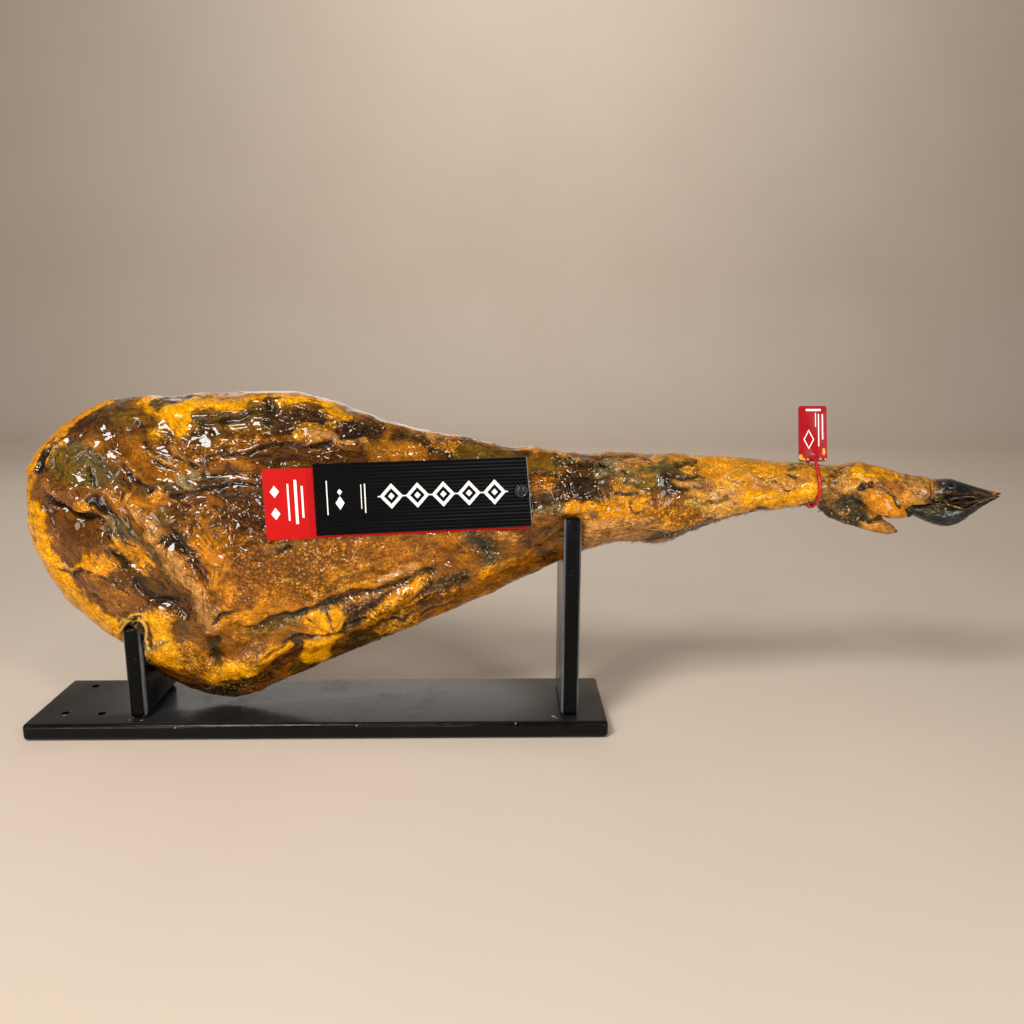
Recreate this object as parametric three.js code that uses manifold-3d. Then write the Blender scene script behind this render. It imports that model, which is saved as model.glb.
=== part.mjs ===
// A whole cured ham with its foot, meat side to the front, on the black display stand that carries it.
// Millimetres. +X runs along the stand towards the hoof, +Y to the back, +Z up.
// The origin is the middle of the base board's underside.
import * as THREE from 'three';
import { mergeVertices } from 'three/addons/utils/BufferGeometryUtils.js';
import Module from 'manifold-3d';

const wasm = await Module();
wasm.setup();

const GAP = 0.3;
const RAD = Math.PI / 180;

// The stand: a base board, and two boards on edge across it, each with a cradle sawn in its top.
const BASE = { length: 500, depth: 100, thick: 15, corner: 4, round: 2.5, holeRadius: 3.5, holeDepth: 9 };
const SCREW_HOLES = [[-222, 33], [-223, -26], [-191, -27]];
const POST = { thick: 15, depth: 79, round: 2, tipRound: 3, cradleRadius: 29.3 };
const HIP_POST = { x: -155, top: 98.5, cradleCentre: 81 };
const SHANK_POST = { x: 217.4, top: 192, cradleCentre: 177 };

// The card label on the ham's face: a black card over a longer red one, held by one push stud.
const LABEL = { centre: [94.6, -46.9, 212.4], turn: 6.8, roll: 1 };
const BLACK_CARD = { length: 174, height: 58.5, thick: 1 };
const RED_CARD = { left: -126.5, right: 84, height: 57.6, drop: 2.6, thick: 0.8 };
const STUD = { along: 79.9, up: 1.3, headRadius: 5.8, headHeight: 2.6, shaftRadius: 2, shaftLength: 13 };

// The seal: a plastic plate that stands on the shank, on a round strap drawn through its foot.
const STRAP = { x: 427, radius: 1.4, clear: 0.7, topZ: 238.4 };
const TAG = { width: 24.3, height: 48, thick: 1.6, corner: 2, holeUp: 5, leanBack: 14 };

const FINISHES = {
  ham: { color: 0xa8660f, roughness: 0.32 },
  horn: { color: 0x23211f, roughness: 0.28 },
  lacquer: { color: 0x0b0b0c, roughness: 0.22 },
  blackCard: { color: 0x121314, roughness: 0.6 },
  redCard: { color: 0xdd3b36, roughness: 0.55 },
  blackPlastic: { color: 0x0a0a0b, roughness: 0.35 },
  strap: { color: 0xb3121f, roughness: 0.35 },
  tag: { color: 0x9c0c16, roughness: 0.25 },
};

// A closed geometry becomes a solid that can be cut and joined, and a solid becomes a geometry again.
function toSolid(geometry) {
  const bare = geometry.clone();
  bare.deleteAttribute('normal');
  bare.deleteAttribute('uv');
  const merged = mergeVertices(bare, 1e-4);
  const vertProperties = Float32Array.from(merged.attributes.position.array);
  const triVerts = Uint32Array.from(merged.index.array);
  return new wasm.Manifold(new wasm.Mesh({ numProp: 3, vertProperties, triVerts }));
}

function toGeometry(solid) {
  const { vertProperties, triVerts } = solid.getMesh();
  const geometry = new THREE.BufferGeometry();
  geometry.setAttribute('position', new THREE.BufferAttribute(vertProperties, 3));
  geometry.setIndex(new THREE.BufferAttribute(triVerts, 1));
  geometry.computeVertexNormals();
  return geometry;
}

const mix = (a, b, t) => a + (b - a) * t;
const ease = (from, to, v) => THREE.MathUtils.smoothstep(v, from, to);
const bell = (d) => Math.exp(-d * d);

// A skin over a row of rings with equal point counts, closed at both ends by a fan to the ring's middle.
function skinRings(rings) {
  const around = rings[0].length;
  const positions = rings.flat().flatMap((p) => [p.x, p.y, p.z]);
  const index = [];
  const at = (ring, i) => ring * around + (i % around);
  for (let ring = 0; ring < rings.length - 1; ring += 1) {
    for (let i = 0; i < around; i += 1) {
      index.push(at(ring, i), at(ring + 1, i), at(ring + 1, i + 1));
      index.push(at(ring, i), at(ring + 1, i + 1), at(ring, i + 1));
    }
  }
  for (const ring of [0, rings.length - 1]) {
    const middle = rings[ring].reduce((sum, p) => sum.add(p), new THREE.Vector3()).divideScalar(around);
    const hub = positions.length / 3;
    positions.push(middle.x, middle.y, middle.z);
    for (let i = 0; i < around; i += 1) {
      const edge = ring === 0 ? [at(ring, i), at(ring, i + 1)] : [at(ring, i + 1), at(ring, i)];
      index.push(hub, ...edge);
    }
  }
  const geometry = new THREE.BufferGeometry();
  geometry.setAttribute('position', new THREE.Float32BufferAttribute(positions, 3));
  geometry.setIndex(index);
  return geometry;
}

// Reads a row of stations smoothly at a place u that counts stations.
function readStations(stations, key, u) {
  const last = stations.length - 1;
  const i = Math.min(Math.floor(u), last - 1);
  const t = u - i;
  const v = (k) => stations[THREE.MathUtils.clamp(k, 0, last)][key];
  const slopeIn = (v(i + 1) - v(i - 1)) / 2;
  const slopeOut = (v(i + 2) - v(i)) / 2;
  const rise = v(i + 1) - v(i);
  const bend = 3 * rise - 2 * slopeIn - slopeOut;
  const twist = slopeIn + slopeOut - 2 * rise;
  return v(i) + t * (slopeIn + t * (bend + t * twist));
}

// One half of a cross-section, evenly spaced: a superellipse from the spine's low end to its high end.
function halfSection(low, high, depth, lowPower, highPower, count) {
  const fine = 90;
  const points = [];
  for (let i = 0; i <= fine; i += 1) {
    const angle = (i / fine - 0.5) * Math.PI;
    const power = angle < 0 ? lowPower : highPower;
    const along = Math.sign(angle) * Math.abs(Math.sin(angle)) ** (2 / power);
    const out = Math.cos(angle) ** (2 / power);
    const t = (along + 1) / 2;
    points.push(new THREE.Vector3(mix(low[0], high[0], t), depth * out, mix(low[1], high[1], t)));
  }
  const lengths = [0];
  for (let i = 1; i <= fine; i += 1) {
    lengths.push(lengths[i - 1] + points[i].distanceTo(points[i - 1]));
  }
  const spaced = [];
  for (let k = 0; k <= count; k += 1) {
    const want = (lengths[fine] * k) / count;
    let i = 1;
    while (i < fine && lengths[i] < want) {
      i += 1;
    }
    const span = lengths[i] - lengths[i - 1] || 1;
    spaced.push(points[i - 1].clone().lerp(points[i], (want - lengths[i - 1]) / span));
  }
  return spaced;
}

// The stand
function boardOutline(length, depth, corner) {
  const x = length / 2 - corner;
  const y = depth / 2 - corner;
  const shape = new THREE.Shape();
  shape.absarc(x, y, corner, 0, 90 * RAD);
  shape.absarc(-x, y, corner, 90 * RAD, 180 * RAD);
  shape.absarc(-x, -y, corner, 180 * RAD, 270 * RAD);
  shape.absarc(x, -y, corner, 270 * RAD, 360 * RAD);
  return shape;
}

function roundedSlab(shape, thick, round, curveSegments) {
  return new THREE.ExtrudeGeometry(shape, {
    depth: thick - 2 * round,
    bevelThickness: round,
    bevelSize: round,
    bevelOffset: -round,
    bevelSegments: 2,
    curveSegments,
  }).translate(0, 0, round);
}

function baseBoard() {
  const board = roundedSlab(boardOutline(BASE.length, BASE.depth, BASE.corner), BASE.thick, BASE.round, 2);
  let solid = toSolid(board);
  for (const [x, y] of SCREW_HOLES) {
    const bit = new THREE.CylinderGeometry(BASE.holeRadius, BASE.holeRadius, 2 * BASE.holeDepth, 16);
    solid = solid.subtract(toSolid(bit.rotateX(90 * RAD).translate(x, y, BASE.thick)));
  }
  return toGeometry(solid);
}

// A post's outline across the stand: two horns with rounded tips and a round cradle between them.
function postOutline(top, cradleCentre, grow) {
  const side = POST.depth / 2 + grow;
  const radius = POST.cradleRadius - grow;
  const tip = POST.tipRound;
  const shape = new THREE.Shape();
  shape.moveTo(-side, 0);
  shape.lineTo(side, 0);
  shape.absarc(side - tip, top + grow - tip, tip, 0, 90 * RAD);
  shape.absarc(radius + tip, top + grow - tip, tip, 90 * RAD, 180 * RAD);
  shape.absarc(0, cradleCentre, radius, 0, 180 * RAD, true);
  shape.absarc(-radius - tip, top + grow - tip, tip, 0, 90 * RAD);
  shape.absarc(tip - side, top + grow - tip, tip, 90 * RAD, 180 * RAD);
  return shape;
}

function postSolid({ x, top, cradleCentre }, grow = 0) {
  const thick = POST.thick + 2 * grow;
  const slab = roundedSlab(postOutline(top, cradleCentre, grow), thick, POST.round, 4);
  const upright = new THREE.Matrix4().makeBasis(
    new THREE.Vector3(0, 1, 0),
    new THREE.Vector3(0, 0, 1),
    new THREE.Vector3(1, 0, 0),
  );
  slab.applyMatrix4(upright).translate(x - thick / 2, 0, 0);
  const foot = BASE.thick + GAP;
  const below = new THREE.BoxGeometry(2 * thick, 2 * POST.depth, foot).translate(x, 0, foot / 2);
  return toSolid(slab).subtract(toSolid(below));
}

// The ham's stations, hip end to coronet. Low and high are the outline's two edges at that station,
// front and back how far the flesh stands out from the middle plane, and rings the number of rings
// to the next station.
const HAM_STATIONS = [
  { lowX: -244, lowZ: 193, highX: -244, highZ: 199, front: 3, back: 3, rings: 2 },
  { lowX: -242, lowZ: 174, highX: -242, highZ: 217, front: 14, back: 16, rings: 2 },
  { lowX: -236, lowZ: 145, highX: -234, highZ: 239, front: 27, back: 31, rings: 3 },
  { lowX: -223, lowZ: 116, highX: -215, highZ: 258.5, front: 38, back: 44, rings: 4 },
  { lowX: -199, lowZ: 91.5, highX: -190, highZ: 276.5, front: 47, back: 54, rings: 4 },
  { lowX: -172, lowZ: 69, highX: -160, highZ: 286.5, front: 53, back: 60, rings: 4 },
  { lowX: -145, lowZ: 43, highX: -130, highZ: 289, front: 57, back: 64, rings: 4 },
  { lowX: -120, lowZ: 26, highX: -100, highZ: 290.5, front: 59, back: 66, rings: 4 },
  { lowX: -92, lowZ: 18.3, highX: -66, highZ: 292, front: 60, back: 66, rings: 4 },
  { lowX: -62, lowZ: 24, highX: -36, highZ: 293, front: 58, back: 65, rings: 5 },
  { lowX: -25, lowZ: 40, highX: 0, highZ: 291, front: 54, back: 62, rings: 5 },
  { lowX: 20, lowZ: 60, highX: 38, highZ: 277, front: 49.5, back: 57, rings: 5 },
  { lowX: 65, lowZ: 79, highX: 75, highZ: 266, front: 45.5, back: 52, rings: 5 },
  { lowX: 115, lowZ: 101.5, highX: 120, highZ: 254.5, front: 40.5, back: 46, rings: 6 },
  { lowX: 165, lowZ: 124, highX: 167, highZ: 246, front: 35.5, back: 40, rings: 6 },
  { lowX: 215, lowZ: 148.5, highX: 215, highZ: 241, front: 32.5, back: 34, rings: 6 },
  { lowX: 262, lowZ: 163.5, highX: 262, highZ: 241, front: 30, back: 31, rings: 5 },
  { lowX: 298, lowZ: 161.5, highX: 298, highZ: 240, front: 28, back: 28.5, rings: 4 },
  { lowX: 326, lowZ: 174, highX: 326, highZ: 238.5, front: 26, back: 26, rings: 4 },
  { lowX: 362, lowZ: 186, highX: 362, highZ: 236.5, front: 23.5, back: 23, rings: 5 },
  { lowX: 405, lowZ: 194, highX: 405, highZ: 233, front: 20, back: 19, rings: 3 },
  { lowX: 428, lowZ: 195, highX: 428, highZ: 231.5, front: 18.5, back: 17.5, rings: 4 },
  { lowX: 450, lowZ: 192, highX: 450, highZ: 230.5, front: 19.5, back: 18.5, rings: 3 },
  { lowX: 466, lowZ: 190, highX: 466, highZ: 232, front: 20, back: 19, rings: 4 },
  { lowX: 488, lowZ: 189.5, highX: 488, highZ: 228.5, front: 18.5, back: 18, rings: 5 },
  { lowX: 512, lowZ: 188, highX: 512, highZ: 222, front: 15.5, back: 15, rings: 3 },
  { lowX: 532, lowZ: 187, highX: 532, highZ: 219.5, front: 12.5, back: 12.5, rings: 0 },
];
const FRONT_POINTS = 25;
const BACK_POINTS = 13;

// Raised cords and sunken seams of the meat side: the line they follow in x and z, half width and height.
const FACE_LINES = [
  { name: 'rim lip at the hip', half: 9, height: 3.5,
    run: [[-190, 97], [-216, 134], [-229, 180], [-222, 222], [-200, 255]] },
  { name: 'seam inside the rim', half: 7, height: -4, run: [[-172, 112], [-200, 146], [-208, 190]] },
  { name: 'fold over the pelvis', half: 8, height: 5,
    run: [[-199, 226], [-184, 216], [-168, 192], [-150, 150]] },
  { name: 'crevice under the fold', half: 6, height: -7, run: [[-202, 207], [-190, 201], [-172, 188]] },
  { name: 'groove beside the tendon', half: 12, height: -7,
    run: [[-160, 236], [-146, 200], [-130, 160], [-114, 118]] },
  { name: 'main tendon', half: 9, height: 7,
    run: [[-126, 224], [-110, 208], [-98, 172], [-86, 140], [-72, 96]] },
  { name: 'slit in the skin', half: 6, height: -4, run: [[-104, 254], [-93, 245], [-80, 240]] },
  { name: 'upper seam', half: 8, height: -4.5, run: [[-82, 264], [-30, 268], [35, 264], [90, 258]] },
  { name: 'middle seam', half: 8, height: -3, run: [[-140, 226], [-84, 222], [-34, 229], [20, 236]] },
  { name: 'fat roll on the top edge', half: 9, height: 4,
    run: [[-140, 281], [-86, 279], [-36, 281], [10, 279]] },
  { name: 'seam above the fat rim', half: 7, height: -5,
    run: [[-74, 58], [-46, 90], [-10, 114], [50, 139], [104, 158], [176, 176]] },
  { name: 'lower fat rim', half: 9, height: 3.5,
    run: [[-60, 50], [-20, 76], [30, 101], [90, 131], [150, 154]] },
  { name: 'shank tendon', half: 8, height: 2.5,
    run: [[214, 181], [246, 175], [290, 181], [335, 195], [385, 205]] },
  { name: 'shank hollow', half: 9, height: -2.5, run: [[215, 205], [262, 201], [315, 208], [360, 214]] },
  { name: 'fat lip round the horn', half: 5, height: 3,
    run: [[-171, 92], [-167, 105], [-153, 108], [-141, 98], [-139, 78]] },
  { name: 'pastern fold', half: 5, height: -3, run: [[474, 210], [490, 203], [506, 196]] },
];

// Round bumps and hollows of the meat side: middle, half sizes and height.
const FACE_BUMPS = [
  { name: 'bone end', x: -110, z: 196, halfX: 10, halfZ: 11, height: 4 },
  { name: 'hollow below the mould', x: -147, z: 248, halfX: 16, halfZ: 20, height: -5 },
  { name: 'fat bulge by the hip post', x: -125, z: 74, halfX: 15, halfZ: 22, height: 5 },
  { name: 'glossy pit', x: -84, z: 62, halfX: 10, halfZ: 12, height: -5 },
  { name: 'belly of the lean', x: -20, z: 160, halfX: 55, halfZ: 26, height: 2.5 },
  { name: 'hip lobe', x: -178, z: 140, halfX: 22, halfZ: 26, height: 3 },
];

// How far (x, z) lies from a run of straight stretches, and how far along the run, from 0 to 1.
function nearRun(x, z, run) {
  let best = { distance: Infinity, along: 0 };
  for (let i = 0; i < run.length - 1; i += 1) {
    const [ax, az] = run[i];
    const [bx, bz] = run[i + 1];
    const dx = bx - ax;
    const dz = bz - az;
    const t = THREE.MathUtils.clamp(((x - ax) * dx + (z - az) * dz) / (dx * dx + dz * dz), 0, 1);
    const distance = Math.hypot(x - ax - t * dx, z - az - t * dz);
    if (distance < best.distance) {
      best = { distance, along: (i + t) / (run.length - 1) };
    }
  }
  return best;
}

// The meat side's height over the smooth form.
function faceRelief(x, z) {
  let height = 0;
  for (const line of FACE_LINES) {
    const { distance, along } = nearRun(x, z, line.run);
    const fade = Math.min(1, 5 * Math.min(along, 1 - along) + 0.35);
    height += line.height * fade * bell(distance / line.half);
  }
  for (const bump of FACE_BUMPS) {
    height += bump.height * bell(Math.hypot((x - bump.x) / bump.halfX, (z - bump.z) / bump.halfZ));
  }
  return height;
}

// The slow unevenness of the whole skin.
function unevenness(x, y, z) {
  const broad = Math.sin(x / 23 + z / 31) * Math.cos(z / 19 - y / 27);
  const close = Math.sin(x / 11 - z / 14 + y / 17);
  return 1.2 * broad + 0.8 * close;
}

// How full each quarter of the section is: 2 is an ellipse, less is more pointed, more is squarer.
const HIP_FULLNESS = { frontLow: 1.6, frontHigh: 2.3, backLow: 1.5, backHigh: 2.1 };
const SHANK_FULLNESS = 2.1;
const SHANK_RELIEF = 0.35;

// The ham's cross-section at u, low end first, up the front and down the back.
function hamRing(u) {
  const read = (key) => readStations(HAM_STATIONS, key, u);
  const low = [read('lowX'), read('lowZ')];
  const high = [read('highX'), read('highZ')];
  const x = (low[0] + high[0]) / 2;
  const shank = ease(60, 230, x);
  const full = (quarter) => mix(HIP_FULLNESS[quarter], SHANK_FULLNESS, shank);
  const front = halfSection(low, high, -read('front'), full('frontLow'), full('frontHigh'), FRONT_POINTS);
  const back = halfSection(low, high, read('back'), full('backLow'), full('backHigh'), BACK_POINTS);
  const ring = [...front, ...back.slice(1, -1).reverse()];
  const clearOfStrap = 1 - bell((x - STRAP.x) / 9);
  const bold = ease(-240, -205, x) * mix(1, SHANK_RELIEF, ease(180, 330, x)) * clearOfStrap;
  return ring.map((p) => {
    const spread = Math.abs(p.y) / Math.max(read('front'), read('back'));
    const face = p.y < 0 ? faceRelief(p.x, p.z) * ease(0.05, 0.55, spread) : 0;
    const swell = (face + unevenness(p.x, p.y, p.z) * ease(0.02, 0.3, spread)) * bold;
    return new THREE.Vector3(p.x, p.y + Math.sign(p.y) * swell, p.z);
  });
}

// A pointed lobe along a straight axis, round in section. Radii run from the first end to the second.
function lobe(start, end, radii) {
  const from = new THREE.Vector3(...start);
  const axis = new THREE.Vector3(...end).sub(from);
  const profile = radii.map((r, i) => new THREE.Vector2(r, (axis.length() * i) / (radii.length - 1)));
  const up = new THREE.Vector3(0, 1, 0);
  const turn = new THREE.Quaternion().setFromUnitVectors(up, axis.clone().normalize());
  const geometry = new THREE.LatheGeometry(profile, 12).applyQuaternion(turn);
  return geometry.translate(from.x, from.y, from.z);
}

const DEWCLAWS = [
  { name: 'near dewclaw', start: [462, -8, 208], end: [508, -21, 188],
    radii: [0, 7, 10, 11, 10.5, 8, 4.5, 0] },
  { name: 'far dewclaw', start: [430, 0, 200], end: [511, -4, 168.5],
    radii: [0, 7, 10, 11, 10.5, 9, 8, 6.5, 4, 0] },
];

// The hoof is two horn claws, one above the other as the foot lies. Each station holds the section's limits.
const CLAWS = {
  hoof_upper: [
    { x: 528, low: 198.8, high: 217.4, front: 12.3, back: 12 },
    { x: 539, low: 198.6, high: 217.4, front: 13, back: 12 },
    { x: 550, low: 199, high: 217.8, front: 12.5, back: 11.5 },
    { x: 561, low: 200, high: 214.4, front: 11, back: 10 },
    { x: 574, low: 201.6, high: 210.4, front: 8.5, back: 7.5 },
    { x: 587, low: 203.1, high: 207, front: 4.5, back: 4.5 },
    { x: 595, low: 204, high: 205.6, front: 1.2, back: 1.2 },
  ],
  hoof_lower: [
    { x: 510, low: 193, high: 198, front: 14.5, back: 2 },
    { x: 518, low: 186, high: 199.6, front: 15, back: 9 },
    { x: 530, low: 180.5, high: 198.4, front: 14, back: 12 },
    { x: 544, low: 176.2, high: 198.2, front: 13.5, back: 12.5 },
    { x: 556, low: 178.4, high: 199.2, front: 13, back: 12 },
    { x: 569, low: 188, high: 200.8, front: 10.5, back: 9 },
    { x: 583, low: 197, high: 202.4, front: 6, back: 5.5 },
    { x: 594, low: 202, high: 203.5, front: 1.5, back: 1.5 },
  ],
};
const CLAW_STEPS = 2;
const CLAW_AROUND = 8;
const CLAW_FULLNESS = 2.5;
const SOLE_HOLLOW = { depth: 4, fromX: 532, toX: 580, under: 206.5, frontOnly: -3 };

function clawSolid(name, grow = 0) {
  const stations = CLAWS[name];
  const rings = [];
  const steps = (stations.length - 1) * CLAW_STEPS;
  for (let k = 0; k <= steps; k += 1) {
    const read = (key) => readStations(stations, key, k / CLAW_STEPS);
    const outward = k === 0 ? -grow : grow;
    const x = read('x') + (k === 0 || k === steps ? outward : 0);
    const low = [x, read('low') - grow];
    const high = [x, read('high') + grow];
    const half = (depth) => halfSection(low, high, depth, CLAW_FULLNESS, CLAW_FULLNESS, CLAW_AROUND);
    const front = half(-read('front') - grow);
    const back = half(read('back') + grow);
    const ring = [...front, ...back.slice(1, -1).reverse()];
    if (name === 'hoof_upper') {
      const { depth, fromX, toX, under, frontOnly } = SOLE_HOLLOW;
      const along = ease(fromX, fromX + 12, x) * (1 - ease(toX - 14, toX, x));
      ring.filter((p) => p.y < frontOnly).forEach((p) => {
        p.y += depth * along * (1 - ease(under - 3, under + 1, p.z));
      });
    }
    rings.push(ring);
  }
  return toSolid(skinRings(rings));
}

// The label's own frame: X along the card, Y into the ham, Z up the card.
function labelFrame() {
  const frame = new THREE.Group();
  frame.position.set(...LABEL.centre);
  frame.rotation.set(0, -LABEL.roll * RAD, LABEL.turn * RAD, 'ZYX');
  frame.updateMatrix();
  return frame;
}

function card(left, right, bottom, top, thick) {
  const shape = new THREE.Shape();
  shape.moveTo(left, bottom);
  shape.lineTo(right, bottom);
  shape.lineTo(right, top);
  shape.lineTo(left, top);
  const hole = new THREE.Path();
  hole.absarc(STUD.along, STUD.up, STUD.shaftRadius + GAP, 0, 360 * RAD, true);
  shape.holes.push(hole);
  const sheet = new THREE.ExtrudeGeometry(shape, { depth: thick, bevelEnabled: false, curveSegments: 8 });
  return sheet.rotateX(90 * RAD).translate(0, thick, 0);
}

function studGeometry() {
  const { headRadius, headHeight, shaftRadius, shaftLength } = STUD;
  const profile = [
    [0, -shaftLength],
    [shaftRadius * 0.6, -shaftLength],
    [shaftRadius, 1 - shaftLength],
    [shaftRadius, 0],
    [headRadius, 0],
    [headRadius, headHeight * 0.5],
    [headRadius * 0.8, headHeight * 0.9],
    [headRadius * 0.62, headHeight * 0.7],
    [headRadius * 0.45, headHeight],
    [0, headHeight],
  ];
  const turned = new THREE.LatheGeometry(profile.map(([r, y]) => new THREE.Vector2(r, y)), 18);
  return turned.rotateX(180 * RAD).translate(STUD.along, -GAP, STUD.up);
}

// The space that the label and its stud take out of the ham's face.
function labelRoom() {
  const frame = labelFrame();
  const reach = 40;
  const margin = 1;
  const back = BLACK_CARD.thick + RED_CARD.thick + 2 * GAP;
  const left = RED_CARD.left - margin;
  const right = BLACK_CARD.length / 2 + margin;
  const height = BLACK_CARD.height + 2 * RED_CARD.drop + 2 * margin;
  const slab = new THREE.BoxGeometry(right - left, reach, height);
  slab.translate((left + right) / 2, back - reach / 2, 0);
  const bore = STUD.shaftRadius + GAP;
  const shaft = new THREE.CylinderGeometry(bore, bore, 2 * (STUD.shaftLength + 1), 12);
  shaft.translate(STUD.along, 0, STUD.up);
  const room = toSolid(slab.applyMatrix4(frame.matrix));
  return room.add(toSolid(shaft.applyMatrix4(frame.matrix)));
}

// The strap's loop: round the shank's section at one x, arched at the top through the seal plate.
function strapLoop() {
  const { lowZ, highZ, front, back } = HAM_STATIONS.find((s) => s.lowX === 428);
  const middle = (lowZ + highZ) / 2;
  const off = STRAP.radius + STRAP.clear;
  const reach = (highZ - lowZ) / 2 + off;
  const arch = STRAP.topZ - middle - reach;
  const points = [];
  const count = 16;
  for (let i = 0; i < count; i += 1) {
    const angle = (i / count) * 360 * RAD;
    const depth = (Math.cos(angle) < 0 ? front : back) + off;
    const rise = arch * Math.max(0, Math.sin(angle)) ** 6;
    const height = middle + Math.sin(angle) * reach + rise;
    points.push(new THREE.Vector3(STRAP.x, Math.cos(angle) * depth, height));
  }
  return new THREE.CatmullRomCurve3(points, true);
}

function sealTag() {
  const { width, height, thick, corner, holeUp } = TAG;
  const shape = boardOutline(width, height, corner);
  const hole = new THREE.Path();
  hole.absarc(0, holeUp - height / 2, STRAP.radius + 3 * GAP, 0, 360 * RAD, true);
  shape.holes.push(hole);
  const plate = new THREE.ExtrudeGeometry(shape, { depth: thick, bevelEnabled: false, curveSegments: 4 });
  return plate.translate(0, height / 2, -thick / 2).rotateX(90 * RAD);
}

// The ham: the skinned stations with the dewclaws, less the room for the posts, the hoof and the label.
function hamGeometry() {
  const rings = [];
  HAM_STATIONS.forEach(({ rings: count }, station) => {
    for (let k = 0; k < count; k += 1) {
      rings.push(hamRing(station + k / count));
    }
  });
  rings.push(hamRing(HAM_STATIONS.length - 1));
  let solid = toSolid(skinRings(rings));
  for (const { start, end, radii } of DEWCLAWS) {
    solid = solid.add(toSolid(lobe(start, end, radii)));
  }
  const rooms = [postSolid(HIP_POST, GAP), postSolid(SHANK_POST, GAP), labelRoom()];
  rooms.push(...Object.keys(CLAWS).map((name) => clawSolid(name, GAP)));
  for (const room of rooms) {
    solid = solid.subtract(room);
  }
  return toGeometry(solid);
}

function named(name, geometry, finish) {
  const material = new THREE.MeshStandardMaterial({ ...FINISHES[finish], metalness: 0 });
  const mesh = new THREE.Mesh(geometry, material);
  mesh.name = name;
  return mesh;
}

const group = new THREE.Group();
group.add(named('base_board', baseBoard(), 'lacquer'));
group.add(named('hip_post', toGeometry(postSolid(HIP_POST)), 'lacquer'));
group.add(named('shank_post', toGeometry(postSolid(SHANK_POST)), 'lacquer'));
group.add(named('ham', hamGeometry(), 'ham'));
for (const name of Object.keys(CLAWS)) {
  group.add(named(name, toGeometry(clawSolid(name)), 'horn'));
}

const label = labelFrame();
const blackLeft = -BLACK_CARD.length / 2;
const blackTop = BLACK_CARD.height / 2;
const redTop = RED_CARD.height / 2 - RED_CARD.drop;
const blackCard = card(blackLeft, -blackLeft, -blackTop, blackTop, BLACK_CARD.thick);
const redCard = card(RED_CARD.left, RED_CARD.right, redTop - RED_CARD.height, redTop, RED_CARD.thick);
redCard.translate(0, BLACK_CARD.thick + GAP, 0);
label.add(named('label_black_card', blackCard, 'blackCard'));
label.add(named('label_red_card', redCard, 'redCard'));
label.add(named('label_stud', studGeometry(), 'blackPlastic'));
group.add(label);

const strap = new THREE.TubeGeometry(strapLoop(), 40, STRAP.radius, 8, true);
group.add(named('seal_strap', strap, 'strap'));
const tag = named('seal_tag', sealTag(), 'tag');
const lean = TAG.leanBack * RAD;
tag.position.set(STRAP.x, -TAG.holeUp * Math.sin(lean), STRAP.topZ - TAG.holeUp * Math.cos(lean));
tag.rotation.x = -lean;
group.add(tag);

export default group;
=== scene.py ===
# A whole cured ham with its foot, on its black display stand, with its card label and its seal.
# Metres in the scene and millimetres in the tables. +X runs towards the hoof, +Y to the back, +Z up.
import math

import bpy
import numpy as np
from mathutils import Matrix, Vector
from mathutils.bvhtree import BVHTree


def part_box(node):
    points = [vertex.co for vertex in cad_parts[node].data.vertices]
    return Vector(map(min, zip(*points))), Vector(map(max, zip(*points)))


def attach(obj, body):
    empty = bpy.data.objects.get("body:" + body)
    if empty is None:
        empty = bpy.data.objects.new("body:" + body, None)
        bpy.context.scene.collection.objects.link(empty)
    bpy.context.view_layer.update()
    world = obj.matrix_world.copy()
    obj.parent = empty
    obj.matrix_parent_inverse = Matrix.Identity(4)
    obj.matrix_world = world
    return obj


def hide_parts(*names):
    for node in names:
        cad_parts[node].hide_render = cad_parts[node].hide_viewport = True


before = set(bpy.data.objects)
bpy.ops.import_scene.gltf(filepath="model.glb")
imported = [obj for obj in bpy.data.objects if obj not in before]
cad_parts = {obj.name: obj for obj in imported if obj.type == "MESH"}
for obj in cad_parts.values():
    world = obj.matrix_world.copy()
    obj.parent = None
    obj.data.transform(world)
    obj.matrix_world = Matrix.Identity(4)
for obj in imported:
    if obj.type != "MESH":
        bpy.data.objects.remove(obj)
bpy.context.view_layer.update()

MM = 0.001


# The base board is a piece of wood with rounded edges, lacquered black. Three screw holes are left open
# at its hip end, one of them chipped to the bare wood, and it is scuffed where the posts were set on it.
def deselect():
    """Leaves nothing selected, so an operator only acts on what is made next."""
    bpy.ops.object.select_all(action="DESELECT")


def only(piece):
    """Selects one piece alone and makes it the active one."""
    deselect()
    piece.select_set(True)
    bpy.context.view_layer.objects.active = piece


def settled():
    """Puts the active object's place, turn and size into its mesh, and returns it."""
    bpy.ops.object.transform_apply(location=True, rotation=True, scale=True)
    return bpy.context.object


def made(name, slot_name, *nodes):
    """Names the active object, and settles its place, body and nodes; the slot name is not used."""
    piece = bpy.context.object
    piece.name = piece.data.name = name
    only(piece)
    settled()
    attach(piece, "root")
    if nodes:
        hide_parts(*nodes)
    return piece


def apply_all(piece):
    """Applies the piece's modifiers in their order."""
    only(piece)
    for modifier in list(piece.modifiers):
        bpy.ops.object.modifier_apply(modifier=modifier.name)


def block(low, high):
    """A block between two corners in mm, as the active object."""
    deselect()
    middle = [(a + b) / 2 * MM for a, b in zip(low, high)]
    bpy.ops.mesh.primitive_cube_add(size=1, location=middle)
    bpy.context.object.scale = [(b - a) * MM for a, b in zip(low, high)]
    return settled()


def rod(centre, radius, length, sides, turn=(0, 0, 0)):
    """A round rod in mm that stands upright or is turned, as the active object."""
    deselect()
    bpy.ops.mesh.primitive_cylinder_add(vertices=sides, radius=radius * MM, depth=length * MM,
                                        location=[c * MM for c in centre], rotation=turn)
    return settled()


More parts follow.
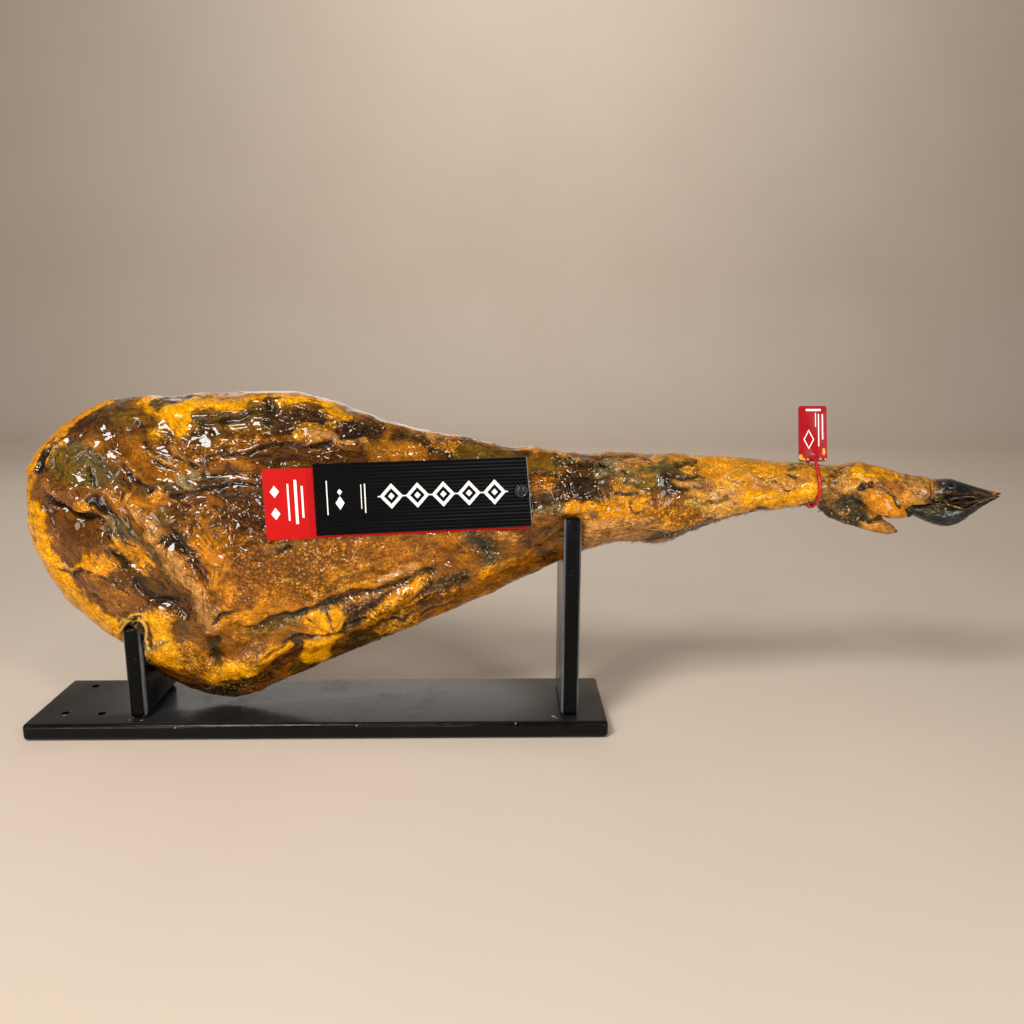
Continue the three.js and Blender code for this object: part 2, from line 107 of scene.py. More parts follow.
def cut(piece, cutter):
    """Cuts the cutter out of the piece and throws it away."""
    modifier = piece.modifiers.new("cut", "BOOLEAN")
    modifier.operation = "DIFFERENCE"
    modifier.solver = "EXACT"
    modifier.object = cutter
    apply_all(piece)
    bpy.data.objects.remove(cutter)


def smooth_below(degrees):
    """Shades the active object smooth, but for edges sharper than that."""
    bpy.ops.object.shade_smooth_by_angle(angle=math.radians(degrees))


def bevel(piece, width, segments):
    """Rounds every edge sharper than 30 degrees."""
    modifier = piece.modifiers.new("round", "BEVEL")
    modifier.width = width * MM
    modifier.segments = segments
    modifier.limit_method = "ANGLE"
    modifier.angle_limit = math.radians(30)
    modifier.harden_normals = False
    apply_all(piece)
    smooth_below(40)


def reckon(operation, *values):
    """One step of arithmetic on fields and plain numbers."""
    return put("ShaderNodeMath", dict(enumerate(values)), operation=operation)


class Field:
    """A value, place or colour that changes over a surface: an output of a shader node."""

    def __init__(self, socket):
        self.socket = socket
        self.tree = socket.id_data

    def other(self, key):
        """Another output of the same node."""
        return Field(self.socket.node.outputs[key])

    def parts(self):
        """The three parts of a place or a colour, each a value of its own."""
        kind = "ShaderNodeSeparateColor" if self.socket.type == "RGBA" else "ShaderNodeSeparateXYZ"
        first = put(kind, {0: self})
        return [first.other(i) for i in range(3)]

    def __add__(self, value):
        return reckon("ADD", self, value)

    def __radd__(self, value):
        return reckon("ADD", value, self)

    def __sub__(self, value):
        return reckon("SUBTRACT", self, value)

    def __rsub__(self, value):
        return reckon("SUBTRACT", value, self)

    def __mul__(self, value):
        return reckon("MULTIPLY", self, value)

    def __truediv__(self, value):
        return reckon("DIVIDE", self, value)

    def __lt__(self, value):
        return reckon("LESS_THAN", self, value)

    def __gt__(self, value):
        return reckon("GREATER_THAN", self, value)

    def __abs__(self):
        return reckon("ABSOLUTE", self)


def feed(node, inputs):
    """Gives a node its inputs by name or number, each a plain value or a field."""
    for key, value in inputs.items():
        if isinstance(value, Field):
            value.tree.links.new(value.socket, node.inputs[key])
        else:
            node.inputs[key].default_value = value


def put(kind, inputs, output=0, **settings):
    """Adds a shader node beside the fields that feed it, and returns one of its outputs."""
    node = next(value.tree for value in inputs.values() if isinstance(value, Field)).nodes.new(kind)
    for key, value in settings.items():
        setattr(node, key, value)
    feed(node, inputs)
    return Field(node.outputs[output])


def larger(first, second):
    return reckon("MAXIMUM", first, second)


def blend(amount, first, second, blend_type="MIX"):
    """Mixes two colours."""
    return put("ShaderNodeMix", {0: amount, 6: first, 7: second}, 2, data_type="RGBA",
               blend_type=blend_type)


def spread(value, low, high, to_low=0.0, to_high=1.0):
    """Reads a value smoothly from one range into another."""
    inputs = {"Value": value, "From Min": low, "From Max": high, "To Min": to_low, "To Max": to_high}
    return put("ShaderNodeMapRange", inputs, interpolation_type="SMOOTHSTEP")


def noise(place, scale, detail=4.0, roughness=0.55, distortion=0.0):
    inputs = {"Vector": place, "Scale": scale, "Detail": detail, "Roughness": roughness,
              "Distortion": distortion}
    return put("ShaderNodeTexNoise", inputs, "Fac")


def stretched(place, scale):
    """The same place with each direction scaled, for grain that runs one way."""
    return put("ShaderNodeMapping", {"Vector": place, "Scale": scale})


def raised(height, strength, distance):
    """The surface's normal with that height raised on it."""
    return put("ShaderNodeBump", {"Height": height, "Strength": strength, "Distance": distance})


def linear(red, green, blue):
    """A colour given in 0..255 as it looks, as the linear colour that a shader takes."""
    def one(value):
        part = value / 255
        return part / 12.92 if part <= 0.04045 else ((part + 0.055) / 1.055) ** 2.4
    return (one(red), one(green), one(blue), 1.0)


def material(name):
    """A new material. Returns it, its Principled shader, and the place on the object."""
    finish = bpy.data.materials.new(name)
    finish.use_nodes = True
    nodes = finish.node_tree.nodes
    return finish, nodes["Principled BSDF"], Field(nodes.new("ShaderNodeTexCoord").outputs["Object"])


def wear(piece, finish):
    piece.data.materials.clear()
    piece.data.materials.append(finish)


def mask_group(name, *sizes):
    """An empty group for a mask round a centre. Returns it, its inputs and its end."""
    group = bpy.data.node_groups.new(name, "ShaderNodeTree")
    kinds = ["NodeSocketVector", "NodeSocketVector"] + ["NodeSocketFloat"] * len(sizes)
    for label, kind in zip(("Place", "Centre", *sizes), kinds):
        group.interface.new_socket(label, in_out="INPUT", socket_type=kind)
    group.interface.new_socket("Mask", in_out="OUTPUT", socket_type="NodeSocketFloat")
    given = group.nodes.new("NodeGroupInput")
    return group, [Field(given.outputs[i]) for i in range(len(kinds))], group.nodes.new("NodeGroupOutput")


def masked(place, group, centre, **sizes):
    """The mask that a group makes round a centre, which is in mm like its sizes."""
    inputs = {"Place": place, "Centre": [c * MM for c in centre]}
    inputs.update({key: value * MM for key, value in sizes.items()})
    return put("ShaderNodeGroup", inputs, "Mask", node_tree=group)


def overlaid(masks):
    """The strongest of the masks at each place."""
    top = masks[0]
    for mask in masks[1:]:
        top = larger(top, mask)
    return top


def chip_group():
    """A ragged chip through the lacquer: 1 inside it, 0 outside."""
    group, (place, centre, radius), result = mask_group("chip", "Radius")
    away = put("ShaderNodeVectorMath", {0: place, 1: centre}, "Value", operation="DISTANCE")
    ragged = noise(place, 620, 3)
    feed(result, {"Mask": spread(away / radius + ragged * 1.5, 1.25, 1.55, 1.0, 0.0)})
    return group


def lacquer(name, grain_scale, chips, dust_and_sheen_above, edge_highlight_at=None):
    """Black lacquer on wood: the grain shows faintly, the flat top is greyed by dust and painted sheen,
    with scratches and chips.
    """
    finish, shader, place = material(name)
    across, deep, up = place.parts()
    grain = noise(stretched(place, grain_scale), 60, 6, 0.6)
    ripple = noise(place, 18, 3)
    specks = spread(noise(place, 900, 2, 0.7), 0.7, 0.76)
    cloud = spread(noise(place, 35, 5, 0.6), 0.45, 0.75)
    scratch = spread(noise(stretched(place, (9.0, 140.0, 140.0)), 12, 5, 0.7), 0.64, 0.7)
    colour = blend(cloud * 0.35, linear(6, 6, 6), linear(18, 18, 19))
    # Dust and painted sheen: the flat top is greyed, partly as dust and partly standing in for the light
    # that it reflects.
    dust_and_sheen = spread(up, (dust_and_sheen_above - 0.6) * MM, dust_and_sheen_above * MM)
    colour = blend(dust_and_sheen * spread(ripple, 0.2, 0.8, 0.6, 1.0), colour, linear(37, 37, 38))
    colour = blend(specks * 0.5, colour, linear(120, 116, 110))
    colour = blend(scratch * 0.1, colour, linear(130, 128, 124))
    if edge_highlight_at is not None:
        # A painted highlight runs pale blue-grey along a post's edges, where its broad faces meet its
        # narrow ones.
        thin = spread(abs(across - edge_highlight_at * MM), 5.2 * MM, 6.8 * MM)
        edge_highlight = thin * spread(abs(deep), 33.5 * MM, 36.5 * MM)
        edge_highlight = edge_highlight * spread(grain, 0.3, 0.7, 0.45, 1.0)
        colour = blend(edge_highlight, colour, linear(112, 120, 132))
    chipped = overlaid([masked(place, CHIP, centre, Radius=radius) for centre, radius in chips])
    wood = blend(noise(place, 700, 3), linear(96, 62, 34), linear(226, 190, 140))
    colour = blend(chipped, colour, wood)
    rough = spread(cloud + grain * 0.6, 0.0, 1.6, 0.16, 0.36) + chipped * 0.5
    height = grain * 0.6 + ripple * 1.6 - scratch * 0.25 - chipped * 1.5
    feed(shader, {"Base Color": colour, "Roughness": rough, "Normal": raised(height, 0.35, 0.0006),
                  "IOR": 1.27 if edge_highlight_at is None else 1.19})
    return finish


CHIP = chip_group()
BASE_HALF = (250, 50)
BASE_THICK = 15
HOLES = [(-222, 33), (-223, -26), (-191, -27)]
HOLE_RADIUS = 3.5
HOLE_DEPTH = 9

block((-BASE_HALF[0], -BASE_HALF[1], 0), (BASE_HALF[0], BASE_HALF[1], BASE_THICK))
base = made("base_board_lacquered", "black_lacquer", "base_board")
bevel(base, 4, 5)
for hole_x, hole_y in HOLES:
    cut(base, rod((hole_x, hole_y, BASE_THICK), HOLE_RADIUS, 2 * HOLE_DEPTH, 28))
smooth_below(40)
wear(base, lacquer("black lacquer on the base", (1.0, 14.0, 14.0), [
    ((-222, -30, 14), 2.6), ((-219, -23, 13), 2.6), ((-194, -29, 14), 1.2),
    ((203, -38, 15), 2.6), ((206, -41, 15), 1.2), ((-162, -40.5, 15), 1.3), ((-151, -41.3, 15), 1.5),
    ((-120, -50, 12), 1.0), ((34, -50, 13), 1.0), ((170, -49, 14), 0.9), ((-240, -48, 13), 1.0)],
    BASE_THICK - 0.1))


# The two posts are boards of the same lacquered wood, set on edge across the base and screwed from below.
# Each has a round cradle sawn in its top, so that it carries the leg between two rounded horns.
POST_HALF = 39.5
POST_THICK = 15
CRADLE_RADIUS = 29.3
POST_GAP = 0.3


def post(name, node, x, top, cradle_centre, chips):
    foot = BASE_THICK + POST_GAP
    near, far = x - POST_THICK / 2, x + POST_THICK / 2
    block((near, -POST_HALF, foot), (far, POST_HALF, top))
    piece = made(name, "black_lacquer", node)
    room = block((near - 5, -CRADLE_RADIUS, cradle_centre), (far + 5, CRADLE_RADIUS, top + 20))
    cut(piece, room)
    along_x = (0, math.pi / 2, 0)
    cut(piece, rod((x, 0, cradle_centre), CRADLE_RADIUS, POST_THICK + 10, 72, along_x))
    only(piece)
    bpy.ops.object.mode_set(mode="EDIT")
    bpy.ops.mesh.select_all(action="SELECT")
    bpy.ops.mesh.remove_doubles(threshold=0.05 * MM)
    bpy.ops.mesh.dissolve_limited(angle_limit=math.radians(0.5))
    bpy.ops.object.mode_set(mode="OBJECT")
    bevel(piece, 4.6, 6)
    wear(piece, lacquer("black lacquer on the " + name, (14.0, 14.0, 1.0), chips, top + 5, x))


HIP_POST_X, HIP_POST_TOP = -155, 98.5
SHANK_POST_X, SHANK_POST_TOP = 217.4, 192
post("hip_post_lacquered", "hip_post", HIP_POST_X, HIP_POST_TOP, 81,
     [((-159, -38.5, 16), 1.1), ((-150.5, -38, 16.5), 1.3)])
post("shank_post_lacquered", "shank_post", SHANK_POST_X, SHANK_POST_TOP, 177,
     [((212, -38.5, 16), 1.1), ((222, -38.5, 120), 0.8), ((212, -38, 64), 0.8)])


# The ham is one leg, salted and dried with its foot on, the cut meat side to the front and the skin behind.
# Its oil makes it glossy all over. Fat is yellow, lean brown, and a grey-green bloom sits in the hollows.
TONES = {
    "yellow": (250, 170, 4), "gold": (224, 146, 14), "amber": (176, 106, 10), "orange": (216, 132, 10),
    "orangeTan": (214, 144, 62), "tan": (200, 140, 72), "pink": (150, 88, 30), "straw": (208, 162, 66),
    "rust": (134, 78, 8), "lean": (98, 54, 8), "umber": (70, 44, 18), "dark": (46, 26, 8),
    "black": (18, 12, 6), "olive": (124, 94, 18), "oliveDark": (62, 48, 12), "mould": (84, 80, 50),
    "bloom": (146, 128, 86), "greybrown": (112, 84, 48), "coronet": (62, 56, 46),
}
# Each mark is a fold, seam or patch: its tone, how strongly it covers, half width and height in mm,
# finish, and the run it follows, where the sight line from the front meets the middle plane, in x and z.
HAM_MARKS = [
    ("warm middle", "orange", 0.45, 34, 0, "grain", [(-79, 151), (-30, 140), (19, 144)]),
    ("warm shank", "yellow", 0.45, 16, 0, "", [(325, 227), (365, 222), (411, 210)]),
    ("hip rim layers", "greybrown", 0.9, 9, 1, "pleats",
     [(-240, 226), (-229, 242), (-212, 256), (-196, 270), (-180, 279), (-165, 279)]),
    ("brown under the rim", "lean", 0.85, 8, -1, "pleats",
     [(-190, 267), (-199, 256), (-215, 242), (-226, 231)]),
    ("gap in the rim", "black", 0.8, 2.5, -3, "fold", [(-239, 223), (-233, 233), (-222, 244)]),
    ("orange edge of the rim", "gold", 1, 4.5, 1, "",
     [(-248, 204), (-246, 220), (-238, 237), (-223, 252), (-203, 269), (-187, 278), (-171, 283)]),
    ("gold flecks by the rim", "gold", 0.8, 4, 1.5, "grain", [(-227, 232), (-221, 242), (-214, 249)]),
    ("gold curl over the bloom", "gold", 0.9, 2.6, 2, "fold",
     [(-206, 237), (-197, 242), (-188, 240), (-183, 232)]),
    ("bloom patch", "mould", 0.95, 15, 0, "", [(-208, 232), (-198, 231), (-187, 226)]),
    ("bloom tail", "mould", 0.7, 8, 0, "", [(-186, 222), (-175, 217), (-167, 213)]),
    ("straw under the bloom", "olive", 0.7, 10, 1, "pleats", [(-215, 233), (-212, 222), (-197, 220)]),
    ("crumbs in the bloom", "black", 0.9, 1.7, -1.5, "", [(-192, 226), (-189, 214)]),
    ("purple slope", "umber", 0.75, 13, -2, "", [(-175, 260), (-169, 248), (-163, 237), (-160, 222)]),
    ("rust slope", "rust", 0.7, 10, 0, "grain", [(-168, 246), (-161, 237), (-155, 229)]),
    ("dark crevice of the hip", "black", 0.75, 3.2, -4, "fold",
     [(-166, 229), (-159, 220), (-151, 212), (-139, 207)]),
    ("straw fold above", "olive", 0.8, 7, 1.5, "pleats",
     [(-162, 271), (-148, 268), (-135, 264), (-125, 257)]),
    ("brown knot", "dark", 0.8, 6, -2, "", [(-154, 259), (-146, 255), (-144, 250)]),
    ("gold spot", "yellow", 0.8, 5, 1, "", [(-134, 256), (-133, 256)]),
    ("golden lobe", "amber", 0.85, 17, 2, "", [(-148, 233), (-133, 232), (-118, 224), (-114, 215)]),
    ("rust on the lobe", "rust", 0.6, 8, 0, "", [(-135, 229), (-127, 233)]),
    ("grey fibres", "bloom", 0.75, 6, 1, "pleats", [(-108, 215), (-103, 221), (-95, 217)]),
    ("tan fold under the lobe", "greybrown", 0.85, 4.5, 2.5, "pleats",
     [(-150, 212), (-140, 205), (-128, 208), (-113, 209), (-84, 213)]),
    ("slit in the skin", "black", 0.95, 2.2, -4, "fold", [(-118, 237), (-111, 233), (-101, 230)]),
    ("curled lip of the slit", "tan", 0.95, 2.2, 3, "", [(-123, 246), (-117, 239), (-109, 233)]),
    ("knob by the slit", "greybrown", 0.9, 3, 2.5, "", [(-113, 251), (-112, 251)]),
    ("gold right of the slit", "amber", 0.8, 9, 1, "grain", [(-102, 242), (-91, 238)]),
    ("top fat", "yellow", 1, 9.5, 2.5, "",
     [(-136, 284), (-127, 280), (-112, 277), (-94, 279), (-77, 280), (-59, 283), (-42, 284), (-28, 286)]),
    ("top fat thin end", "yellow", 0.95, 5.5, 1.5, "",
     [(-28, 286), (-11, 286), (2, 283), (15, 277), (27, 271)]),
    ("fat drip", "yellow", 0.95, 6, 1, "", [(-116, 272), (-115, 263)]),
    ("grey crease on the fat", "greybrown", 0.95, 3.6, -1.5, "pleats",
     [(-135, 281), (-128, 285), (-118, 285), (-108, 286)]),
    ("tan skin on the top edge", "tan", 0.8, 2.6, 1, "",
     [(-94, 286), (-70, 288), (-54, 287), (-35, 290), (-16, 291), (-1, 288)]),
    ("crumbs under the fat", "rust", 0.85, 6, -1, "grain", [(-98, 271), (-85, 272), (-74, 269)]),
    ("dark fold under the fat", "dark", 0.8, 5, -3, "fold",
     [(-95, 264), (-80, 267), (-64, 269), (-49, 275), (-35, 278)]),
    ("olive lobe", "olive", 0.85, 13, 2, "pleats", [(-92, 259), (-76, 257), (-60, 260), (-46, 264)]),
    ("olive gold below", "amber", 0.6, 9, 1, "grain", [(-81, 251), (-65, 252), (-49, 252)]),
    ("purple brown patch", "umber", 0.95, 13, -1, "pleats",
     [(-30, 271), (-21, 268), (-10, 268), (-2, 270)]),
    ("golden strip", "gold", 0.85, 5.5, 1.5, "grain", [(-14, 257), (-3, 260), (9, 259), (17, 266)]),
    ("dark patch by the edge", "umber", 0.9, 9, -1, "grain", [(26, 259), (38, 259), (50, 262)]),
    ("beads above the seam", "amber", 0.85, 5, 2, "grain",
     [(-77, 247), (-61, 250), (-44, 252), (-29, 251)]),
    ("upper seam", "black", 0.95, 1.7, -3.5, "fold",
     [(-77, 238), (-61, 240), (-49, 244), (-35, 246), (-25, 247), (-12, 247), (3, 248), (15, 251)]),
    ("tan ridge over the card", "tan", 0.7, 3.5, 2, "", [(-4, 253), (11, 255), (26, 248), (40, 250)]),
    ("grey spot", "mould", 0.85, 5, 0, "", [(-20, 237), (-19, 237)]),
    ("lean over the card", "lean", 0.8, 11, 0, "pleats",
     [(-86, 230), (-62, 233), (-32, 236), (-2, 236), (34, 236)]),
    ("gold ridge in the lean", "amber", 0.7, 4.5, 2, "", [(-86, 230), (-72, 234), (-57, 231)]),
    ("middle seam", "black", 0.8, 1.9, -3, "fold",
     [(-125, 202), (-108, 206), (-89, 210), (-72, 214), (-51, 217)]),
    ("tan ridge over the seam", "greybrown", 0.8, 4, 2.5, "pleats",
     [(-128, 203), (-113, 209), (-97, 212), (-81, 216)]),
    ("fringe under the seam", "rust", 0.8, 5, 1, "grain",
     [(-118, 197), (-100, 201), (-85, 205), (-68, 210), (-54, 214)]),
    ("dark lean", "dark", 0.85, 20, -1, "pleats", [(-85, 192), (-69, 196), (-58, 190)]),
    ("lean by the card", "lean", 0.8, 18, 0, "grain", [(-65, 182), (-55, 170), (-61, 155)]),
    ("rust lobe", "rust", 0.8, 13, 2, "pleats", [(-107, 198), (-97, 191), (-102, 181)]),
    ("bone end rim", "black", 0.9, 10.5, -1.5, "", [(-130, 184), (-129, 184)]),
    ("bone end", "olive", 0.95, 7, 2.5, "", [(-130, 183), (-129, 183)]),
    ("tan folds left of the bone", "tan", 0.7, 4, 1.5, "pleats", [(-136, 196), (-129, 195), (-123, 198)]),
    ("orange shoulder", "orange", 0.75, 15, 2, "pleats", [(-114, 172), (-107, 162), (-99, 153)]),
    ("brown right of the bone", "lean", 0.7, 10, 0, "grain", [(-117, 190), (-114, 179), (-120, 170)]),
    ("glistening fold", "pink", 0.95, 6, 4, "pleats", [(-231, 215), (-222, 209), (-211, 205), (-207, 200)]),
    ("crevice", "black", 0.95, 5, -6, "fold",
     [(-227, 204), (-221, 198), (-210, 191), (-200, 186), (-192, 182)]),
    ("gold under the crevice", "gold", 0.7, 5, 2, "", [(-203, 195), (-194, 186), (-186, 181)]),
    ("hip hollow", "lean", 0.7, 13, -2, "", [(-228, 192), (-221, 181), (-212, 173), (-201, 172)]),
    ("groove", "dark", 0.75, 9, -5, "pleats", [(-190, 195), (-181, 181), (-174, 164), (-166, 148)]),
    ("groove lower", "oliveDark", 0.8, 9, -4, "pleats",
     [(-176, 152), (-165, 138), (-153, 128), (-140, 116), (-124, 106)]),
    ("wet ridge in the groove", "bloom", 0.85, 3, 2.5, "pleats",
     [(-182, 184), (-176, 172), (-172, 158), (-165, 148)]),
    ("bloom in the groove", "mould", 0.75, 8, 0, "pleats",
     [(-170, 178), (-162, 165), (-158, 154), (-151, 148)]),
    ("golden wedge", "amber", 0.7, 8, 2, "pleats", [(-172, 204), (-162, 193), (-152, 182)]),
    ("gold wedge lower", "gold", 0.7, 8, 1, "pleats", [(-175, 160), (-158, 149), (-152, 141)]),
    ("grey glints", "bloom", 0.7, 5, 1, "grain", [(-144, 152), (-134, 142), (-130, 129)]),
    ("tendon top", "tan", 0.95, 5, 5, "pleats", [(-159, 201), (-152, 189), (-144, 176), (-136, 160)]),
    ("tendon bright fold", "orange", 0.9, 5, 2, "pleats", [(-151, 199), (-140, 197), (-132, 200)]),
    ("tendon", "tan", 0.9, 7, 5, "pleats",
     [(-143, 167), (-132, 153), (-121, 137), (-111, 121), (-104, 103), (-98, 89)]),
    ("tendon shade", "amber", 0.6, 5, 0, "pleats", [(-118, 149), (-109, 132), (-102, 111)]),
    ("scar by the tendon", "dark", 0.85, 6.5, -3, "grain",
     [(-128, 166), (-116, 154), (-105, 142), (-97, 130)]),
    ("shiny shoulder", "orange", 0.9, 5, 3, "pleats", [(-86, 140), (-90, 132), (-92, 125)]),
    ("funnel", "black", 0.8, 1.9, -4, "fold", [(-109, 85), (-100, 80), (-96, 72)]),
    ("crease right of the funnel", "black", 0.8, 1.6, -2, "fold", [(-96, 93), (-89, 99), (-74, 101)]),
    ("tan right of the funnel", "tan", 0.6, 6, 2, "pleats", [(-92, 87), (-82, 93), (-75, 94)]),
    ("left yellow rim", "yellow", 1, 9, 2, "",
     [(-245, 177), (-243, 165), (-237, 148), (-228, 129), (-216, 111), (-201, 98), (-189, 87), (-181, 73)]),
    ("glossy band", "pink", 0.9, 9, 1, "pleats",
     [(-238, 176), (-232, 161), (-223, 143), (-212, 127), (-199, 111), (-185, 100)]),
    ("slots in the band", "black", 0.9, 1.4, -2, "", [(-235, 172), (-232, 163), (-228, 157)]),
    ("curled crease", "black", 0.85, 1.7, -3, "fold",
     [(-226, 140), (-218, 135), (-207, 137), (-194, 132), (-184, 126), (-170, 116)]),
    ("lip over the crease", "tan", 0.8, 2.4, 2.5, "", [(-224, 143), (-216, 139), (-205, 141), (-194, 136)]),
    ("rust hip", "lean", 0.7, 10, 1, "", [(-216, 168), (-202, 166), (-193, 161)]),
    ("gold hip", "gold", 0.75, 8, 1, "", [(-203, 146), (-194, 136), (-185, 141)]),
    ("rust by the crease", "rust", 0.85, 6, 1, "grain", [(-179, 128), (-168, 125), (-163, 120)]),
    ("dark hollow by the groove", "dark", 0.85, 8, -3, "fold",
     [(-160, 123), (-149, 111), (-132, 106), (-121, 95)]),
    ("olive low hip", "amber", 0.7, 10, 0, "pleats", [(-196, 119), (-180, 106), (-163, 98)]),
    ("brown over the horn", "rust", 0.8, 9, 0, "grain", [(-156, 101), (-138, 94), (-121, 99)]),
    ("yellow fold left of the horn", "yellow", 0.9, 4, 2, "fold", [(-182, 90), (-176, 87), (-171, 92)]),
    ("yellow bulge", "yellow", 1, 14, 3, "", [(-146, 86), (-146, 72), (-140, 57)]),
    ("tan on the bulge", "greybrown", 0.6, 7, 0, "", [(-130, 85), (-120, 80), (-123, 72)]),
    ("gold lumps", "yellow", 0.85, 9, 2, "grain", [(-118, 59), (-111, 49), (-100, 42), (-88, 42)]),
    ("pit shade", "oliveDark", 0.85, 7, -4, "", [(-100, 69), (-97, 56), (-96, 48)]),
    ("wet edges of the pit", "bloom", 0.9, 2.2, 2, "", [(-102, 53), (-98, 45), (-91, 48)]),
    ("dark underside of the bulge", "dark", 0.75, 9, 0, "",
     [(-148, 43), (-130, 29), (-112, 22), (-89, 19)]),
    ("crumb rim", "gold", 0.9, 6, 2, "grain",
     [(-120, 65), (-115, 53), (-104, 46), (-89, 47), (-72, 50), (-59, 53)]),
    ("bottom fat", "yellow", 0.95, 8, 2, "", [(-99, 37), (-85, 42), (-69, 40)]),
    ("mottled bottom", "oliveDark", 0.75, 7, 0, "grain", [(-104, 27), (-88, 25), (-68, 31), (-54, 39)]),
    ("bead row", "gold", 0.95, 4, 2.5, "grain", [(-75, 75), (-65, 78), (-54, 81)]),
    ("tan beads", "tan", 0.8, 5, 2, "grain", [(-68, 63), (-59, 69), (-57, 59)]),
    ("dark seam of the rim", "black", 0.9, 2, -3, "fold",
     [(-53, 56), (-42, 65), (-25, 75), (-10, 76), (8, 78)]),
    ("purple brown on the rim", "umber", 0.9, 8, -1, "", [(-33, 70), (-22, 68), (-31, 56), (-42, 49)]),
    ("yellow slab", "yellow", 1, 4.5, 2.5, "", [(-52, 55), (-42, 63), (-33, 67)]),
    ("small yellow slab", "yellow", 0.95, 3.4, 1.5, "", [(-16, 67), (-14, 62)]),
    ("lower yellow slab", "yellow", 0.95, 5, 2, "", [(-19, 52), (-9, 57), (1, 62)]),
    ("big yellow window", "yellow", 0.95, 8, 2.5, "", [(-9, 95), (-5, 86), (4, 83), (15, 90), (1, 98)]),
    ("fold in the window", "greybrown", 0.8, 2, 1.5, "", [(5, 95), (7, 83)]),
    ("green seam", "mould", 0.95, 5, -3.5, "fold",
     [(-54, 88), (-33, 95), (-16, 98), (9, 108), (27, 115), (50, 122), (75, 130), (96, 138)]),
    ("straw seam edge", "olive", 0.6, 7, 0, "pleats", [(-62, 84), (-43, 86), (-24, 89)]),
    ("umber over the rim", "umber", 0.9, 6, -1, "grain", [(15, 83), (26, 92), (40, 102), (57, 114)]),
    ("gold crumbs of the rim", "gold", 0.95, 6, 2.5, "grain",
     [(41, 95), (54, 102), (66, 108), (78, 117), (91, 127)]),
    ("yellow islands", "yellow", 0.9, 4, 2, "", [(50, 80), (61, 85), (74, 89)]),
    ("yellow streak", "yellow", 0.9, 3.4, 1.5, "", [(-6, 69), (5, 72), (13, 77)]),
    ("black between the islands", "dark", 0.9, 5, -2, "fold",
     [(26, 75), (42, 83), (63, 93), (85, 103), (104, 113)]),
    ("grey strip of the rim", "greybrown", 0.8, 3.4, 0, "", [(68, 89), (83, 92)]),
    ("olive underside", "oliveDark", 0.85, 7, 0, "", [(-26, 41), (-7, 53), (14, 63), (35, 72), (56, 79)]),
    ("granules", "rust", 0.6, 26, 0, "grain", [(-67, 137), (-43, 140), (-16, 140), (10, 137)]),
    ("granules right", "amber", 0.5, 22, 0, "grain", [(24, 140), (51, 145), (83, 154)]),
    ("pale beads", "gold", 0.9, 4.4, 1.5, "grain",
     [(-32, 127), (-17, 122), (-14, 112), (-3, 117), (4, 124)]),
    ("orange flow", "orange", 0.8, 12, 1, "pleats", [(-100, 154), (-91, 137), (-88, 120)]),
    ("pale fold by the card", "greybrown", 0.8, 4.5, 1.5, "pleats", [(-46, 157), (-34, 158), (-25, 162)]),
    ("dark nick by the card", "black", 0.8, 1.6, -2, "", [(-36, 154), (-26, 159)]),
    ("gold low lean", "gold", 0.55, 13, 0, "pleats", [(18, 129), (44, 129), (77, 137)]),
    ("tan ridge low", "tan", 0.6, 4, 2, "pleats", [(50, 130), (67, 136), (83, 138)]),
    ("gold funnel side", "gold", 0.7, 8, 1, "pleats", [(-84, 91), (-64, 95), (-50, 103)]),
    ("ridge over the card", "orangeTan", 0.9, 3.6, 1.2, "",
     [(93, 259), (113, 255), (130, 252), (148, 249), (170, 243), (187, 241)]),
    ("olive slope", "umber", 0.8, 8, 0, "grain", [(72, 256), (91, 250), (115, 241), (128, 243)]),
    ("gold grains", "gold", 0.9, 4, 1.5, "grain", [(100, 247), (108, 247), (119, 244)]),
    ("orange left of the ridge", "orange", 0.8, 7, 1, "pleats", [(63, 243), (78, 240), (88, 236)]),
    ("brown slope", "greybrown", 0.75, 5, 0, "pleats", [(132, 246), (148, 245), (164, 242), (178, 240)]),
    ("olive by the card", "olive", 0.85, 6, 0, "", [(124, 240), (141, 239), (159, 240)]),
    ("brown under the card", "lean", 0.75, 10, 0, "pleats", [(188, 164), (201, 173), (211, 182)]),
    ("grey patch under the card", "mould", 0.85, 9, -1, "grain", [(132, 164), (145, 159), (146, 148)]),
    ("gold under the card", "amber", 0.75, 8, 1, "pleats", [(103, 164), (118, 160), (127, 153)]),
    ("tan lobes under the card", "orangeTan", 0.75, 6, 2, "", [(156, 168), (165, 167), (175, 164)]),
    # The tan line along the shank's top edge is partly painted highlight, where the edge catches the light.
    ("tan line of the shank", "orangeTan", 0.95, 2.2, 1.6, "",
     [(174, 243), (204, 242), (220, 236), (237, 234), (258, 233), (278, 236), (298, 238), (314, 239)]),
    ("brown above the line", "lean", 0.85, 3.4, -1, "", [(229, 237), (243, 237), (263, 237), (288, 238)]),
    ("grey by the line", "mould", 0.85, 4, 0, "grain", [(207, 234), (218, 234), (233, 230)]),
    ("olive of the shank", "olive", 0.85, 6, 0, "", [(183, 230), (194, 229), (202, 228)]),
    ("dark crease of the shank", "black", 0.85, 1.7, -2.5, "fold", [(183, 224), (198, 223), (208, 221)]),
    ("glossy orange", "orange", 0.95, 8, 2, "grain", [(187, 215), (197, 215), (206, 212)]),
    ("orange beads", "orangeTan", 0.9, 4, 1.5, "grain", [(197, 207), (203, 201)]),
    ("dark hollow by the horn", "oliveDark", 0.9, 8, -3, "",
     [(185, 196), (200, 199), (214, 203), (230, 204)]),
    ("grey glints by the horn", "bloom", 0.8, 4, 1, "grain", [(192, 190), (202, 190), (209, 193)]),
